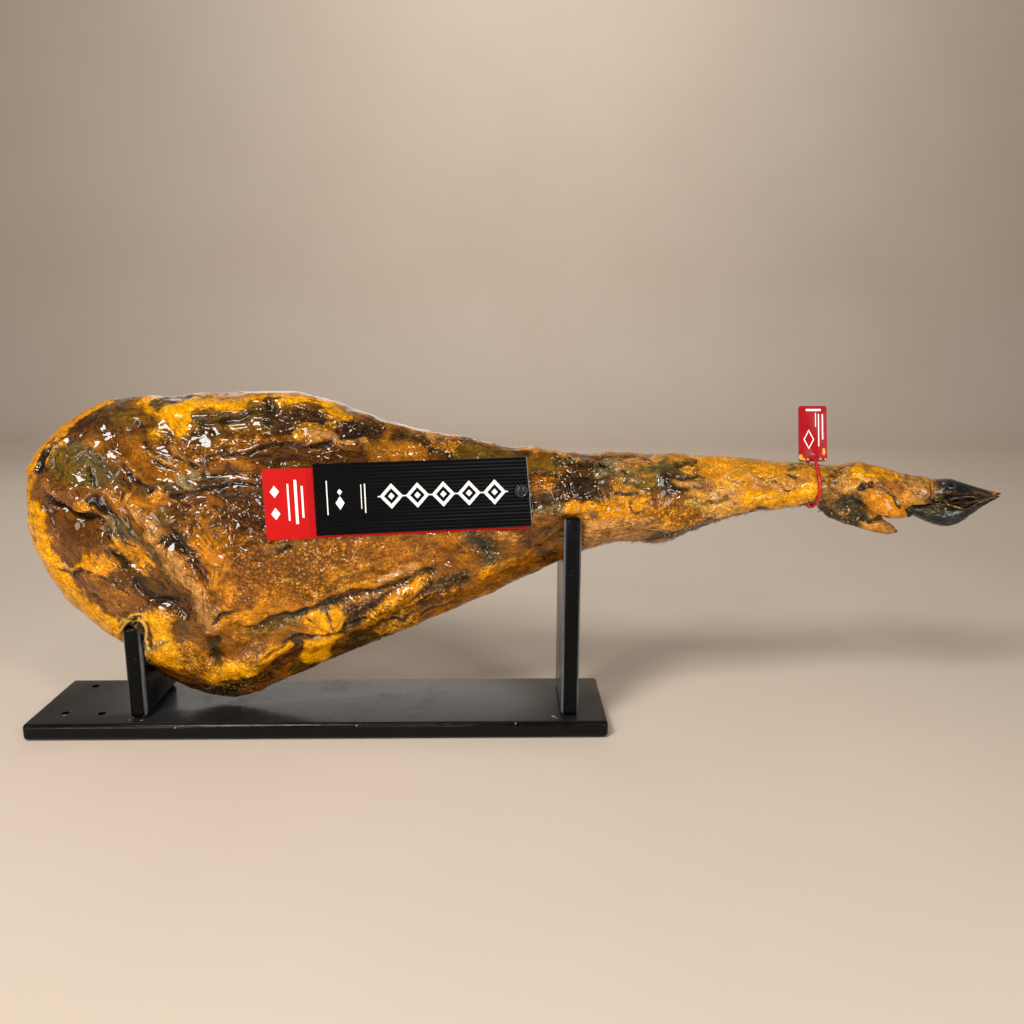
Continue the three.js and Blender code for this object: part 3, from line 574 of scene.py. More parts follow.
    ("gold by the horn", "gold", 0.95, 4, 1.5, "", [(214, 191), (218, 194)]),
    ("gold lobe by the horn", "gold", 0.85, 6, 1.5, "", [(221, 200), (228, 198), (234, 196)]),
    ("umber fibres", "umber", 0.9, 13, 0, "grain", [(218, 216), (230, 220), (242, 223)]),
    ("dark fibres", "dark", 0.7, 8, -1, "grain", [(226, 211), (238, 205), (244, 200)]),
    ("sparkling patch", "bloom", 0.8, 8, 1, "grain", [(247, 226), (259, 226)]),
    ("straw right of it", "tan", 0.6, 6, 0, "pleats", [(263, 230), (278, 231), (293, 232)]),
    ("brown lobes", "umber", 0.9, 5, 2, "", [(249, 215), (253, 206), (257, 199)]),
    ("gold bit", "gold", 1, 2.4, 1.5, "", [(258, 208), (259, 208)]),
    ("crease by the lobes", "black", 0.85, 1.6, -2.5, "fold", [(259, 203), (269, 205), (277, 207)]),
    ("dark streak", "mould", 0.95, 7, -1, "", [(269, 218), (282, 223), (295, 226), (306, 225)]),
    ("wet line of the streak", "tan", 0.9, 1.8, 1.5, "", [(272, 216), (280, 222), (296, 223)]),
    ("olive patch of the shank", "olive", 0.85, 11, 0, "pleats", [(282, 214), (297, 217), (311, 218)]),
    ("green spot", "mould", 0.85, 7, 0, "", [(302, 224), (307, 220)]),
    ("bits under the patch", "dark", 0.8, 3.6, 0, "grain", [(286, 209), (294, 209), (306, 208)]),
    ("gold underside", "gold", 0.85, 13, 1, "", [(238, 182), (254, 188), (274, 191), (286, 192)]),
    ("arc in the gold", "rust", 0.8, 1.8, -1.5, "fold", [(271, 198), (272, 192), (277, 187), (285, 190)]),
    ("grey shade by the post", "mould", 0.6, 6, 0, "", [(234, 190), (238, 184), (234, 180)]),
    ("pink skin", "pink", 0.8, 10, 1, "grain", [(292, 198), (304, 194), (318, 192), (329, 190)]),
    ("scaly gold", "gold", 0.8, 9, 1, "grain", [(285, 180), (300, 181), (315, 180), (327, 182)]),
    ("tan belly of the shank", "tan", 0.8, 8, 0, "pleats",
     [(235, 168), (255, 172), (275, 173), (295, 172)]),
    ("grey on the belly", "greybrown", 0.6, 5, 0, "", [(287, 169), (300, 170)]),
    ("green lower edge", "oliveDark", 0.9, 3.6, 0, "grain",
     [(279, 161), (298, 166), (317, 172), (332, 177), (339, 180)]),
    ("brown side by the post", "lean", 0.6, 9, 0, "pleats", [(176, 167), (190, 172), (207, 180)]),
    ("dark underside by the post", "dark", 0.6, 7, 0, "", [(193, 149), (204, 158), (213, 167)]),
    ("mould at the hock", "mould", 0.85, 8, 0, "", [(299, 225), (306, 220), (301, 214)]),
    ("mould on the edge", "oliveDark", 0.8, 4, 0, "grain", [(310, 232), (323, 234)]),
    ("pink by the mould", "pink", 0.9, 6, 1, "grain", [(328, 225), (331, 219), (339, 212)]),
    ("grey granules", "bloom", 0.85, 4, 1.5, "grain", [(319, 215), (328, 213)]),
    ("brown by the granules", "umber", 0.7, 6, 0, "", [(302, 207), (312, 204), (322, 200)]),
    ("tan knuckle", "tan", 0.7, 8, 0, "pleats", [(344, 204), (352, 207), (360, 202)]),
    ("gold shank", "gold", 0.7, 13, 0, "", [(340, 227), (357, 224), (377, 222), (395, 219), (417, 217)]),
    ("wrinkled gold", "orangeTan", 0.6, 6, 1, "pleats", [(400, 214), (409, 213), (420, 215)]),
    ("wrinkle arcs", "orangeTan", 0.7, 4, 1, "pleats", [(375, 219), (383, 214), (389, 212)]),
    ("bright fat of the shank", "yellow", 1, 6, 2, "",
     [(375, 200), (392, 197), (407, 198), (420, 204), (429, 210)]),
    ("brown by the strap", "greybrown", 0.6, 5, 0, "pleats", [(406, 229), (414, 231), (426, 231)]),
    ("scar of the shank", "dark", 0.9, 1.6, -1, "", [(404, 223), (412, 222)]),
    ("dark bits on the lower edge", "dark", 0.8, 1.8, 0, "grain",
     [(345, 181), (361, 184), (380, 189), (397, 192), (417, 194), (429, 196)]),
    ("hole by the strap", "black", 0.95, 1.4, -2, "", [(437, 217), (438, 217)]),
    ("gold of the foot", "gold", 0.7, 12, 0, "pleats",
     [(439, 224), (459, 226), (480, 223), (507, 219), (526, 213)]),
    ("bump of the foot", "yellow", 0.8, 5, 2.5, "", [(466, 230), (467, 223)]),
    ("pits of the foot", "black", 0.95, 1.6, -2.5, "", [(480, 215), (481, 215)]),
    ("pits below", "dark", 0.9, 3, -1.5, "grain", [(473, 212), (486, 211)]),
    ("tan fold of the foot", "tan", 0.8, 3, 2, "pleats", [(454, 212), (456, 222), (459, 228)]),
    ("brown heel", "umber", 0.7, 8, 0, "grain", [(445, 219), (443, 203)]),
    ("bloom under the foot", "mould", 0.95, 9, -3, "grain",
     [(459, 197), (469, 197), (472, 189), (464, 183)]),
    ("black in the bloom", "black", 0.9, 2.2, -2, "", [(470, 197), (466, 200)]),
    ("dark edge of the foot", "oliveDark", 0.9, 5, 0, "grain",
     [(439, 193), (449, 185), (461, 179), (472, 174)]),
    ("near dewclaw", "orange", 1, 9, 0, "", [(482, 198), (496, 192), (507, 187)]),
    ("tip of the near dewclaw", "orange", 1, 3, 0, "", [(510, 185), (515, 188)]),
    ("far dewclaw", "orangeTan", 0.9, 7, 0, "", [(481, 176), (495, 173), (505, 171)]),
    ("tip of the far dewclaw", "orange", 1, 3, 0, "", [(506, 170), (507, 170)]),
    ("gap between the dewclaws", "black", 0.95, 2.2, -1, "", [(475, 183), (486, 181), (497, 183)]),
    ("pastern crease", "umber", 0.85, 1.5, -1.5, "fold", [(481, 211), (492, 207), (499, 200), (508, 192)]),
    ("pink pastern", "pink", 0.85, 6, 1, "pleats", [(491, 212), (503, 208)]),
    ("tan pastern", "tan", 0.8, 7, 0, "pleats", [(510, 216), (521, 211), (529, 203)]),
    ("dark oval", "black", 0.95, 2.2, -1.5, "", [(529, 197), (533, 203)]),
    ("coronet", "coronet", 0.95, 5.5, 0.5, "pleats", [(537, 219), (537, 211), (537, 203), (535, 196)]),
    ("brown edge of the coronet", "umber", 0.8, 3, 0, "", [(534, 217), (534, 208)]),
    # Painted shadow: black round the hip post's horn, where it sinks into a hollow of the ham.
    ("void round the horn", "black", 1, 4.5, -7, "", [(-170, 85), (-164, 88), (-162, 80), (-161, 67)]),
    ("lip round the horn", "straw", 0.95, 3, 3, "",
     [(-178, 85), (-172, 91), (-162, 94), (-157, 85), (-156, 73), (-156, 63)]),
    ("veins of the window", "dark", 0.85, 1.5, -1.5, "", [(3, 100), (5, 90), (7, 78)]),
    ("vein of the window", "dark", 0.8, 1.4, -1.5, "", [(-11, 90), (-3, 84), (4, 78)]),
    ("yellow of the window", "yellow", 1, 5, 1.5, "", [(-8, 94), (-3, 90), (1, 84)]),
    ("orange of the window", "yellow", 0.95, 4, 1.5, "", [(11, 90), (16, 94)]),
    ("purple by the window", "umber", 0.85, 5, 0, "grain", [(20, 100), (31, 104), (41, 107)]),
    ("purple granules", "greybrown", 0.95, 6, -1, "grain", [(88, 119), (102, 123), (115, 127), (125, 130)]),
    ("orange before the granules", "orange", 1, 6, 2, "", [(61, 108), (72, 116), (83, 123)]),
    ("pale beads before the granules", "gold", 0.9, 3, 1.5, "grain", [(67, 112), (78, 119)]),
    ("gold under the granules", "gold", 1, 2.8, 2, "grain",
     [(73, 105), (83, 108), (96, 112), (110, 117), (117, 120)]),
    ("pits under the granules", "black", 0.9, 1.2, -1.5, "grain", [(84, 108), (95, 112), (102, 115)]),
    ("yellow lumps", "yellow", 1, 5, 2, "grain", [(42, 92), (50, 99), (60, 104)]),
    ("pits by the lumps", "black", 0.9, 1.6, -2, "grain", [(29, 88), (35, 91), (39, 95)]),
    ("gold lumps lower", "gold", 1, 4, 1.5, "grain", [(61, 97), (72, 99), (83, 103)]),
    ("yellow low lumps", "yellow", 0.95, 4.5, 1.5, "grain", [(51, 82), (60, 86), (74, 89), (85, 92)]),
    ("black slot", "black", 0.95, 1.4, -2, "", [(62, 92), (69, 90), (74, 93)]),
    ("black seam low", "black", 0.8, 1.6, -2, "fold", [(88, 95), (99, 101), (113, 108)]),
    ("dark knob line", "black", 0.85, 1.3, -2, "fold", [(49, 111), (60, 117), (74, 125)]),
    ("yellow block left", "yellow", 1, 3.6, 1.5, "", [(-19, 61), (-16, 65), (-14, 68)]),
    ("yellow slab left", "yellow", 1, 3, 1.5, "", [(-8, 69), (5, 70)]),
    ("yellow lump at the foot", "yellow", 0.95, 5, 1, "", [(-18, 55), (-10, 58), (0, 63)]),
    ("gold streaks of the edge", "gold", 0.7, 3, 0.6, "pleats",
     [(99, 91), (121, 103), (142, 113), (160, 121)]),
    ("gold run to the card", "gold", 1, 3, 1.2, "pleats", [(141, 132), (153, 138), (168, 146)]),
    ("yellow rim of the hip low", "yellow", 1, 6, 1, "", [(-196, 94), (-192, 90), (-187, 83), (-182, 77)]),
    ("dark nick by the lip", "umber", 0.9, 2.4, -1, "", [(-179, 89), (-181, 83)]),
    # Painted shade: a thin black line round the lip of fat.
    ("black round the lip", "black", 0.9, 0.9, -1, "",
     [(-175, 94), (-169, 93), (-165, 94), (-160, 94), (-157, 89)]),
    ("yellow bulge again", "yellow", 1, 9, 1.5, "", [(-146, 85), (-144, 77), (-142, 67), (-140, 60)]),
    ("crumbs of the bulge", "straw", 0.9, 2.6, 1.5, "grain", [(-150, 67), (-146, 72), (-141, 73)]),
    ("dark side of the bulge", "umber", 0.8, 4, -2, "", [(-153, 86), (-153, 77), (-153, 69)]),
    ("yellow edge of the hip", "yellow", 1, 5, 0.6, "",
     [(-245, 196), (-239, 179), (-234, 156), (-224, 132), (-209, 110), (-192, 92), (-180, 82)]),
    ("squiggle dark patch", "umber", 0.85, 5, -1, "grain", [(301, 219), (308, 214), (316, 210)]),
    ("dark nicks of the shank", "black", 0.85, 1.3, -2, "grain", [(243, 231), (249, 228)]),
    ("dark nick right", "black", 0.85, 1.2, -2, "grain", [(261, 226), (266, 223)]),
    ("dark wave of the shank", "umber", 0.8, 3, -1.5, "fold",
     [(307, 222), (316, 219), (325, 220), (333, 218)]),
    ("tan wave of the shank", "tan", 0.9, 2.6, 1.8, "pleats",
     [(309, 217), (318, 214), (328, 215), (338, 213)]),
    ("creased arcs", "umber", 0.7, 1.4, -1.2, "fold", [(355, 219), (361, 215), (370, 214)]),
    ("creased arcs lower", "umber", 0.65, 1.4, -1.2, "fold", [(383, 222), (389, 217), (396, 216)]),
    ("creased arcs right", "umber", 0.65, 1.3, -1, "fold", [(400, 210), (407, 208), (414, 209)]),
    ("fold of the knuckle", "greybrown", 0.7, 2.2, -1.4, "fold", [(338, 200), (346, 198), (355, 200)]),
    ("tan fold lower", "straw", 0.8, 2.6, 1.6, "pleats", [(321, 196), (330, 193), (342, 191)]),
    ("grain over a wet spot", "lean", 0.5, 7, -1, "grain", [(-138, 244), (-125, 245)]),
    ("grain over a wet spot right", "umber", 0.5, 7, -1, "grain", [(-102, 254), (-89, 255)]),
    # The white tendon line is a painted highlight.
    ("white tendon line", "straw", 0.9, 1.6, 2, "fold", [(-140, 244), (-134, 237), (-123, 231)]),
    ("dark under the tendon", "black", 0.9, 1.7, -2, "fold", [(-137, 233), (-130, 228), (-117, 224)]),
    ("grey whorl", "bloom", 0.6, 5, 1, "pleats", [(-116, 215), (-110, 212), (-103, 208)]),
    # The white arcs are painted highlights on the shank's wrinkles.
    ("white arcs of the shank", "straw", 0.8, 1.2, 1.2, "fold", [(333, 231), (342, 229), (351, 230)]),
    ("white arcs middle", "straw", 0.8, 1.1, 1.2, "fold", [(357, 227), (365, 229), (373, 226)]),
    ("white arcs low", "straw", 0.75, 1.1, 1.2, "fold", [(344, 210), (352, 208), (361, 209)]),
    ("white arcs right", "straw", 0.8, 1.1, 1.2, "fold", [(385, 217), (393, 219), (401, 216)]),
]
VIEWPOINT = np.array([152.0, -769.0, 356.0])


def step(low, high, value):
    """Rises smoothly from 0 at low to 1 at high."""
    t = np.clip((value - low) / (high - low), 0, 1)
    return t * t * (3 - 2 * t)


def rough_field(points, size, seed):
    """Smooth random heights from -1 to 1, with swells of about that size in mm."""
    q = points / size + 100.0
    cell = np.floor(q).astype(np.int64)
    f = q - cell
    f = f * f * (3 - 2 * f)
    total = np.zeros(len(points))
    for corner in np.ndindex(2, 2, 2):
        c = cell + corner
        h = c[:, 0] * 374761393 + c[:, 1] * 668265263 + c[:, 2] * 1274126177 + seed * 362437
        h = (h ^ (h >> 13)) * 1103515245 & 0x7FFFFFFF
        h = (h ^ (h >> 15)) & 0xFFFF
        share = np.ones(len(points))
        for axis in range(3):
            share = share * (f[:, axis] if corner[axis] else 1 - f[:, axis])
        total += share * h
    return total / 32767.5 - 1


def smooth_run(run):
    """Three more points between each two of a run, on a curve through them all."""
    p = [np.array(q, float) for q in run]
    p = [2 * p[0] - p[1], *p, 2 * p[-1] - p[-2]]
    points = []
    for a, b, c, d in zip(p, p[1:], p[2:], p[3:]):
        for t in (0, 0.25, 0.5, 0.75):
            bend = (2 * a - 5 * b + 4 * c - d) * t * t + (3 * b - a - 3 * c + d) * t ** 3
            points.append(0.5 * (2 * b + (c - a) * t + bend))
    return points + [p[-2]]


def near_run(x, z, run):
    """How far each place lies from a run in mm, how far to its left, and the run's way there, doubled."""
    best = np.full(len(x), 1e9)
    side = np.zeros(len(x))
    way = np.zeros((len(x), 2))
    for (ax, az), (bx, bz) in zip(run, run[1:]):
        dx, dz = bx - ax, bz - az
        length = math.hypot(dx, dz)
        t = np.clip(((x - ax) * dx + (z - az) * dz) / length ** 2, 0, 1)
        ex, ez = x - ax - t * dx, z - az - t * dz
        distance = np.hypot(ex, ez)
        closer = distance < best
        best[closer] = distance[closer]
        side[closer] = ((dx * ez - dz * ex) / length)[closer]
        way[closer] = ((dx * dx - dz * dz) / length ** 2, 2 * dx * dz / length ** 2)
    return best, side, way


def mesh_points(piece):
    """The vertices' places in mm and their normals."""
    mesh = piece.data
    places = np.empty(len(mesh.vertices) * 3, np.float32)
    mesh.vertices.foreach_get("co", places)
    normals = np.empty(len(mesh.vertices) * 3, np.float32)
    mesh.vertex_normals.foreach_get("vector", normals)
    return places.reshape(-1, 3).astype(float) / MM, normals.reshape(-1, 3).astype(float)


def move_to(piece, places):
    """Puts the vertices at those places in mm."""
    piece.data.vertices.foreach_set("co", (places * MM).astype(np.float32).ravel())
    piece.data.update()


def edge_pairs(piece):
    """The two vertices of every edge."""
    pairs = np.empty(len(piece.data.edges) * 2, np.int32)
    piece.data.edges.foreach_get("vertices", pairs)
    return pairs.reshape(-1, 2)


def tint(*colour):
    """A colour given in 0..255 as three linear parts to reckon with."""
    return np.array(linear(*colour)[:3])


def neighbour_mean(values, edges, rounds):
    """Each vertex's value evened out with its neighbours', so many times."""
    count = len(values)
    links = np.bincount(edges.ravel(), minlength=count) + 1
    for _ in range(rounds):
        total = values.copy()
        total += np.bincount(edges[:, 0], values[edges[:, 1]], count)
        total += np.bincount(edges[:, 1], values[edges[:, 0]], count)
        values = total / links
    return values


def from_front(points, normals):
    """Where the sight line through each point meets the middle plane, and how much it faces the front."""
    sight = VIEWPOINT - points
    reach = -VIEWPOINT[1] / (points[:, 1] - VIEWPOINT[1])
    x = VIEWPOINT[0] + (points[:, 0] - VIEWPOINT[0]) * reach
    z = VIEWPOINT[2] + (points[:, 2] - VIEWPOINT[2]) * reach
    facing = (normals * sight).sum(1) / np.linalg.norm(sight, axis=1)
    return x, z, facing


LIGHT_TONES = ("yellow", "gold", "straw", "tan", "orangeTan", "bloom", "gleam")
DEEP_TONES = ("dark", "black", "umber", "olive", "oliveDark", "mould", "greybrown", "coronet", "lean")
DIRECTIONS = (0, 45, 90, 135)


def wrinkle_field(points, x, z, turns, along, across, seed):
    """Ridged wrinkles from -1 to 1 that follow the turns, of about that length and width in mm."""
    total = np.zeros(len(points))
    for i, degrees in enumerate(DIRECTIONS):
        c, s = math.cos(math.radians(degrees)), math.sin(math.radians(degrees))
        q = np.stack([(c * x + s * z) / along, (c * z - s * x) / across, points[:, 1] / (2 * across)], 1)
        ridged = 0.6 - 2.2 * np.abs(rough_field(q, 1, seed + i))
        total += turns[:, i] * ridged
    return total


def mark_surface(points, normals, marks, ground, ground_turn, warp):
    """Reads the marks at each point, into a dictionary of tone, height, grain, pleats, turns and more."""
    x, z, facing = from_front(points, normals)
    wide = rough_field(points, 15, 3) * 3.0 + rough_field(points, 5.5, 4) * 1.6
    tall = rough_field(points, 14, 5) * 3.0 + rough_field(points, 5.5, 6) * 1.6
    x, z = x + wide * warp, z + tall * warp
    ragged = rough_field(points, 5, 7) * 0.6 + rough_field(points, 2.6, 8) * 0.4
    front = step(-0.30, 0.02, facing)
    count = len(points)
    read = {"tone": ground.copy(), "height": np.zeros(count), "grain": np.zeros(count),
            "pleats": np.zeros(count), "light": np.zeros((count, 4)), "deep": np.zeros((count, 4))}
    read["light"][:, :3] = read["deep"][:, :3] = ground
    turn = np.tile(np.array(ground_turn, float), (count, 1))
    for name, colour, amount, half, rise, finish, run in marks:
        path = smooth_run(run)
        reach = 2.6 * half + 4
        xs, zs = [p[0] for p in path], [p[1] for p in path]
        at = np.where((x > min(xs) - reach) & (x < max(xs) + reach) & (z > min(zs) - reach)
                      & (z < max(zs) + reach) & (front > 0))[0]
        if not len(at):
            continue
        distance, side, way = near_run(x[at], z[at], path)
        cover = 1 - step(0.35, 1.65, distance / half + 0.3 * ragged[at])
        cover *= amount * front[at]
        rgb = tint(*TONES[colour])
        spread_wide = np.minimum(1, 2.5 * cover)[:, None]
        layer = "light" if colour in LIGHT_TONES else "deep" if colour in DEEP_TONES else ""
        for other in ("light", "deep"):
            read[other][at, 3] *= 1 - cover
            if other == layer:
                read[other][at, 3] += cover
                read[other][at, :3] = read[other][at, :3] * (1 - spread_wide) + rgb * spread_wide
        share = cover[:, None] * (0.45 if layer else 1.0)
        read["tone"][at] = read["tone"][at] * (1 - share) + rgb * share
        swell = np.exp(-(distance / half) ** 2)
        if finish == "fold":
            lap = np.exp(-((side - 1.1 * half) / (0.8 * half)) ** 2) * (side > 0)
            lap *= np.exp(-(distance / (2.2 * half)) ** 4)
            swell = np.exp(-(distance / (0.65 * half)) ** 2) - 0.55 * lap
        read["height"][at] += rise * swell * front[at]
        for kind in ("grain", "pleats"):
            read[kind][at] = read[kind][at] * (1 - cover) + (finish == kind) * cover
        known = (cover * (1.0 if finish == "pleats" else 0.6))[:, None]
        turn[at] = turn[at] * (1 - known) + way * known
    c, s = turn[:, 0], turn[:, 1]
    turns = np.stack([np.maximum(0, c), np.maximum(0, s), np.maximum(0, -c), np.maximum(0, -s)], 1)
    read["turns"] = turns / (turns.sum(1, keepdims=True) + 1e-6)
    read["front"], read["x"], read["z"] = front, x, z
    return read


def write_marks(piece, read, crease):
    """Keeps what was read as colour attributes of the mesh, for the material."""
    full = np.ones((len(crease), 1))
    finish = np.stack([read["grain"], read["pleats"], crease, full[:, 0]], 1)
    columns = {"tone": np.hstack([read["tone"], full]), "finish": finish, "turns": read["turns"],
               "light": read["light"], "deep": read["deep"]}
    for name, values in columns.items():
        attribute = piece.data.color_attributes.new(name, "FLOAT_COLOR", "POINT")
        attribute.data.foreach_set("color", values.astype(np.float32).ravel())


def copy_of(node):
    """A copy of a CAD node's mesh with its loose triangles joined, as the active object."""
    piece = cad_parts[node].copy()
    piece.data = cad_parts[node].data.copy()
    piece.parent = None
    for key in list(piece.keys()):
        del piece[key]
    bpy.context.scene.collection.objects.link(piece)
    only(piece)
    bpy.ops.object.mode_set(mode="EDIT")
    bpy.ops.mesh.select_all(action="SELECT")
    bpy.ops.mesh.remove_doubles(threshold=0.02 * MM)
    bpy.ops.object.mode_set(mode="OBJECT")
    return piece


def remeshed(piece, voxel, smoothing):
    modifier = piece.modifiers.new("even", "REMESH")
    modifier.mode = "VOXEL"
    modifier.voxel_size = voxel * MM
    modifier = piece.modifiers.new("soft", "SMOOTH")
    modifier.factor = 0.5
    modifier.iterations = smoothing
    apply_all(piece)


LABEL_CENTRE = (94.6, -46.9, 212.4)
LABEL_TURN = math.radians(6.8)
LABEL_ROLL = math.radians(1)
LABEL_PLACE = (Matrix.Translation([c * MM for c in LABEL_CENTRE])
               @ Matrix.Rotation(LABEL_TURN, 4, "Z") @ Matrix.Rotation(-LABEL_ROLL, 4, "Y"))


def held_room(points):
    """1 where the label or a post lies against the ham, so that its surface doesn't rise there."""
    back = np.array(LABEL_PLACE.inverted())
    local = (points * MM @ back[:3, :3].T + back[:3, 3]) / MM
    # The cards' outline with 2 mm of room, and the posts' with 1.5 mm.
    under = (local[:, 0] > -128.5) & (local[:, 0] < 88.5) & (np.abs(local[:, 2]) < 32.5)
    label = under & (local[:, 1] > 0.5) & (local[:, 1] < 5)
    posts = np.zeros(len(points), bool)
    for x, top in ((HIP_POST_X, HIP_POST_TOP), (SHANK_POST_X, SHANK_POST_TOP)):
        posts |= (np.abs(points[:, 0] - x) < 9) & (np.abs(points[:, 1]) < 41) & (points[:, 2] < top + 2)
    return label, posts


copy_of("ham")
ham = made("ham_flesh_and_skin", "cured_ham", "ham")
remeshed(ham, 3.3, 6)
points, normals = mesh_points(ham)
facing = from_front(points, normals)[2]
only(ham)
bpy.ops.object.mode_set(mode="EDIT")
bpy.ops.mesh.select_mode(type="FACE")
bpy.ops.mesh.select_all(action="DESELECT")
bpy.ops.object.mode_set(mode="OBJECT")
corners = np.array([tuple(face.vertices) for face in ham.data.polygons])
ham.data.polygons.foreach_set("select", facing[corners].min(1) > -0.12)
bpy.ops.object.mode_set(mode="EDIT")
bpy.ops.mesh.subdivide(number_cuts=1, smoothness=0.0)
bpy.ops.mesh.select_all(action="SELECT")
bpy.ops.mesh.quads_convert_to_tris(quad_method="BEAUTY", ngon_method="BEAUTY")
bpy.ops.object.mode_set(mode="OBJECT")
points, normals = mesh_points(ham)
edges = edge_pairs(ham)

# The bare surface: brown and amber on the meat side, golden tan skin behind, paler towards the shank.
meat = tint(176, 108, 8)
meat_dark = tint(110, 62, 4)
shank_gold = tint(214, 150, 56)
skin_tan = tint(206, 140, 62)
skin_brown = tint(150, 90, 36)
facing = from_front(points, normals)[2]
drift = step(-0.5, 0.5, rough_field(points, 34, 21) * 0.6 + rough_field(points, 12, 22) * 0.4)[:, None]
towards_shank = step(190, 330, points[:, 0])[:, None]
ground = meat * (1 - 0.7 * drift) + meat_dark * 0.7 * drift
ground = ground * (1 - towards_shank) + shank_gold * towards_shank
skin = skin_tan * (1 - 0.6 * drift) + skin_brown * 0.6 * drift
behind = 1 - step(-0.45, -0.1, facing)[:, None]
ground = ground * (1 - behind) + skin * behind
read = mark_surface(points, normals, HAM_MARKS, ground, (0.5, -0.5), 1.0)
front, height, tone = read["front"], read["height"], read["tone"]
deeper = front * np.maximum(1 - step(-120, -20, points[:, 0]), step(195, 225, points[:, 2]))
deeper *= 1 - step(190, 260, points[:, 0])
tone *= (1 - 0.20 * deeper)[:, None]
warmer = step(-120, -60, points[:, 0]) * (1 - step(80, 130, points[:, 0]))
warmer = warmer * (1 - step(160, 195, points[:, 2]))
warmer += step(290, 350, points[:, 0]) * (1 - step(420, 460, points[:, 0]))
tone *= (1 + 0.3 * warmer * front)[:, None]
np.minimum(tone, 0.9, out=tone)
read["deep"][:, :3] *= (1 - 0.25 * deeper)[:, None]

# Behind, the rind is trimmed off in a wedge that points to the shank, and the fat under it lies bare.
rind_edge = points[:, 0] - (215 - 1.5 * np.abs(points[:, 2] - 196)) + 7 * rough_field(points, 16, 81)
rind = (1 - front) * step(-2.5, 2.5, rind_edge)
bare = (1 - front) * (1 - step(-2.5, 2.5, rind_edge))
tone += (tint(170, 104, 34) - tone) * (0.75 * rind)[:, None]
seam = (1 - front) * np.exp(-(rind_edge / 3.0) ** 2)
tone *= (1 - 0.5 * seam)[:, None]
yellowed = bare * step(-0.1, 0.6, rough_field(points, 42, 82) * 0.7 + rough_field(points, 11, 83) * 0.3)
bruised = bare * step(0.1, 0.7, rough_field(points, 30, 84) * 0.7 + rough_field(points, 8, 85) * 0.3)
stained = rind * step(0.0, 0.7, rough_field(points, 26, 86) * 0.6 + rough_field(points, 7, 87) * 0.4)
for key, share, colour in (("light", yellowed, (226, 150, 26)), ("deep", bruised, (92, 58, 18)),
                           ("deep", stained, (84, 56, 22))):
    layer = read[key]
    layer[:, :3] += (tint(*colour) - layer[:, :3]) * np.minimum(1, 3 * share)[:, None]
    layer[:, 3] = np.maximum(layer[:, 3], 0.9 * share)
strength = 0.35 + 0.65 * read["pleats"]
strength *= 1 - 0.25 * step(230, 330, points[:, 0])
wrinkled = wrinkle_field(points, read["x"], read["z"], read["turns"], 24, 6.5, 61)
wrinkled += 0.5 * wrinkle_field(points, read["x"], read["z"], read["turns"], 11, 3.4, 71)
fine = (1.3 * rough_field(points, 21, 30) + 0.85 * rough_field(points, 10, 31)
        + 0.35 * rough_field(points, 5, 32))
lumps = np.abs(rough_field(points, 6, 33)) * 1.6 - 0.5
calm = 1 - 0.35 * step(200, 330, points[:, 0])
height += front * (calm * fine + 0.9 * strength * wrinkled) + read["grain"] * lumps * 1.0
height += (1 - front) * (0.9 * rough_field(points, 22, 34) + 0.35 * rough_field(points, 8, 35))
height += 0.9 * rind - 0.9 * seam + bare * 0.35 * rough_field(points, 5, 36)
height += rind * 0.3 * wrinkled
label_room, post_room = held_room(points)
height[label_room | post_room] = np.minimum(height[label_room | post_room], 0) * 0.2
even = neighbour_mean(height, edges, 10)
# Painted shade and highlight: the colours are darkened where the relief sinks into a crease, and lightened
# towards a pale tan on its ridges.
crease = np.clip((even - height) / 1.5, 0, 1)
ridge = np.clip((height - even) / 1.8, 0, 1)
for layer in (tone, read["light"], read["deep"]):
    layer[:, :3] *= (1 - 0.82 * crease)[:, None]
tone += (tint(226, 158, 50) - tone) * 0.15 * ridge[:, None]
moved = points + normals * height[:, None]
limit_low, limit_high = (np.array(corner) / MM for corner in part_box("ham"))
moved = np.clip(moved, limit_low + 0.05, limit_high - 0.05)
move_to(ham, moved)
write_marks(ham, read, crease)
only(ham)
bpy.ops.object.shade_smooth()


def blend_value(amount, first, second):
    """Mixes two values."""
    return put("ShaderNodeMix", {0: amount, 2: first, 3: second}, data_type="FLOAT")


# How many beads of fat, and how many pores or drops, lie in a metre of flesh.
BEADS = 340.0
PORES = 330.0


def kept(place, name):
    """The colour that the mesh keeps under that name."""
    node = place.tree.nodes.new("ShaderNodeAttribute")
    node.attribute_name = name
    return Field(node.outputs["Color"])


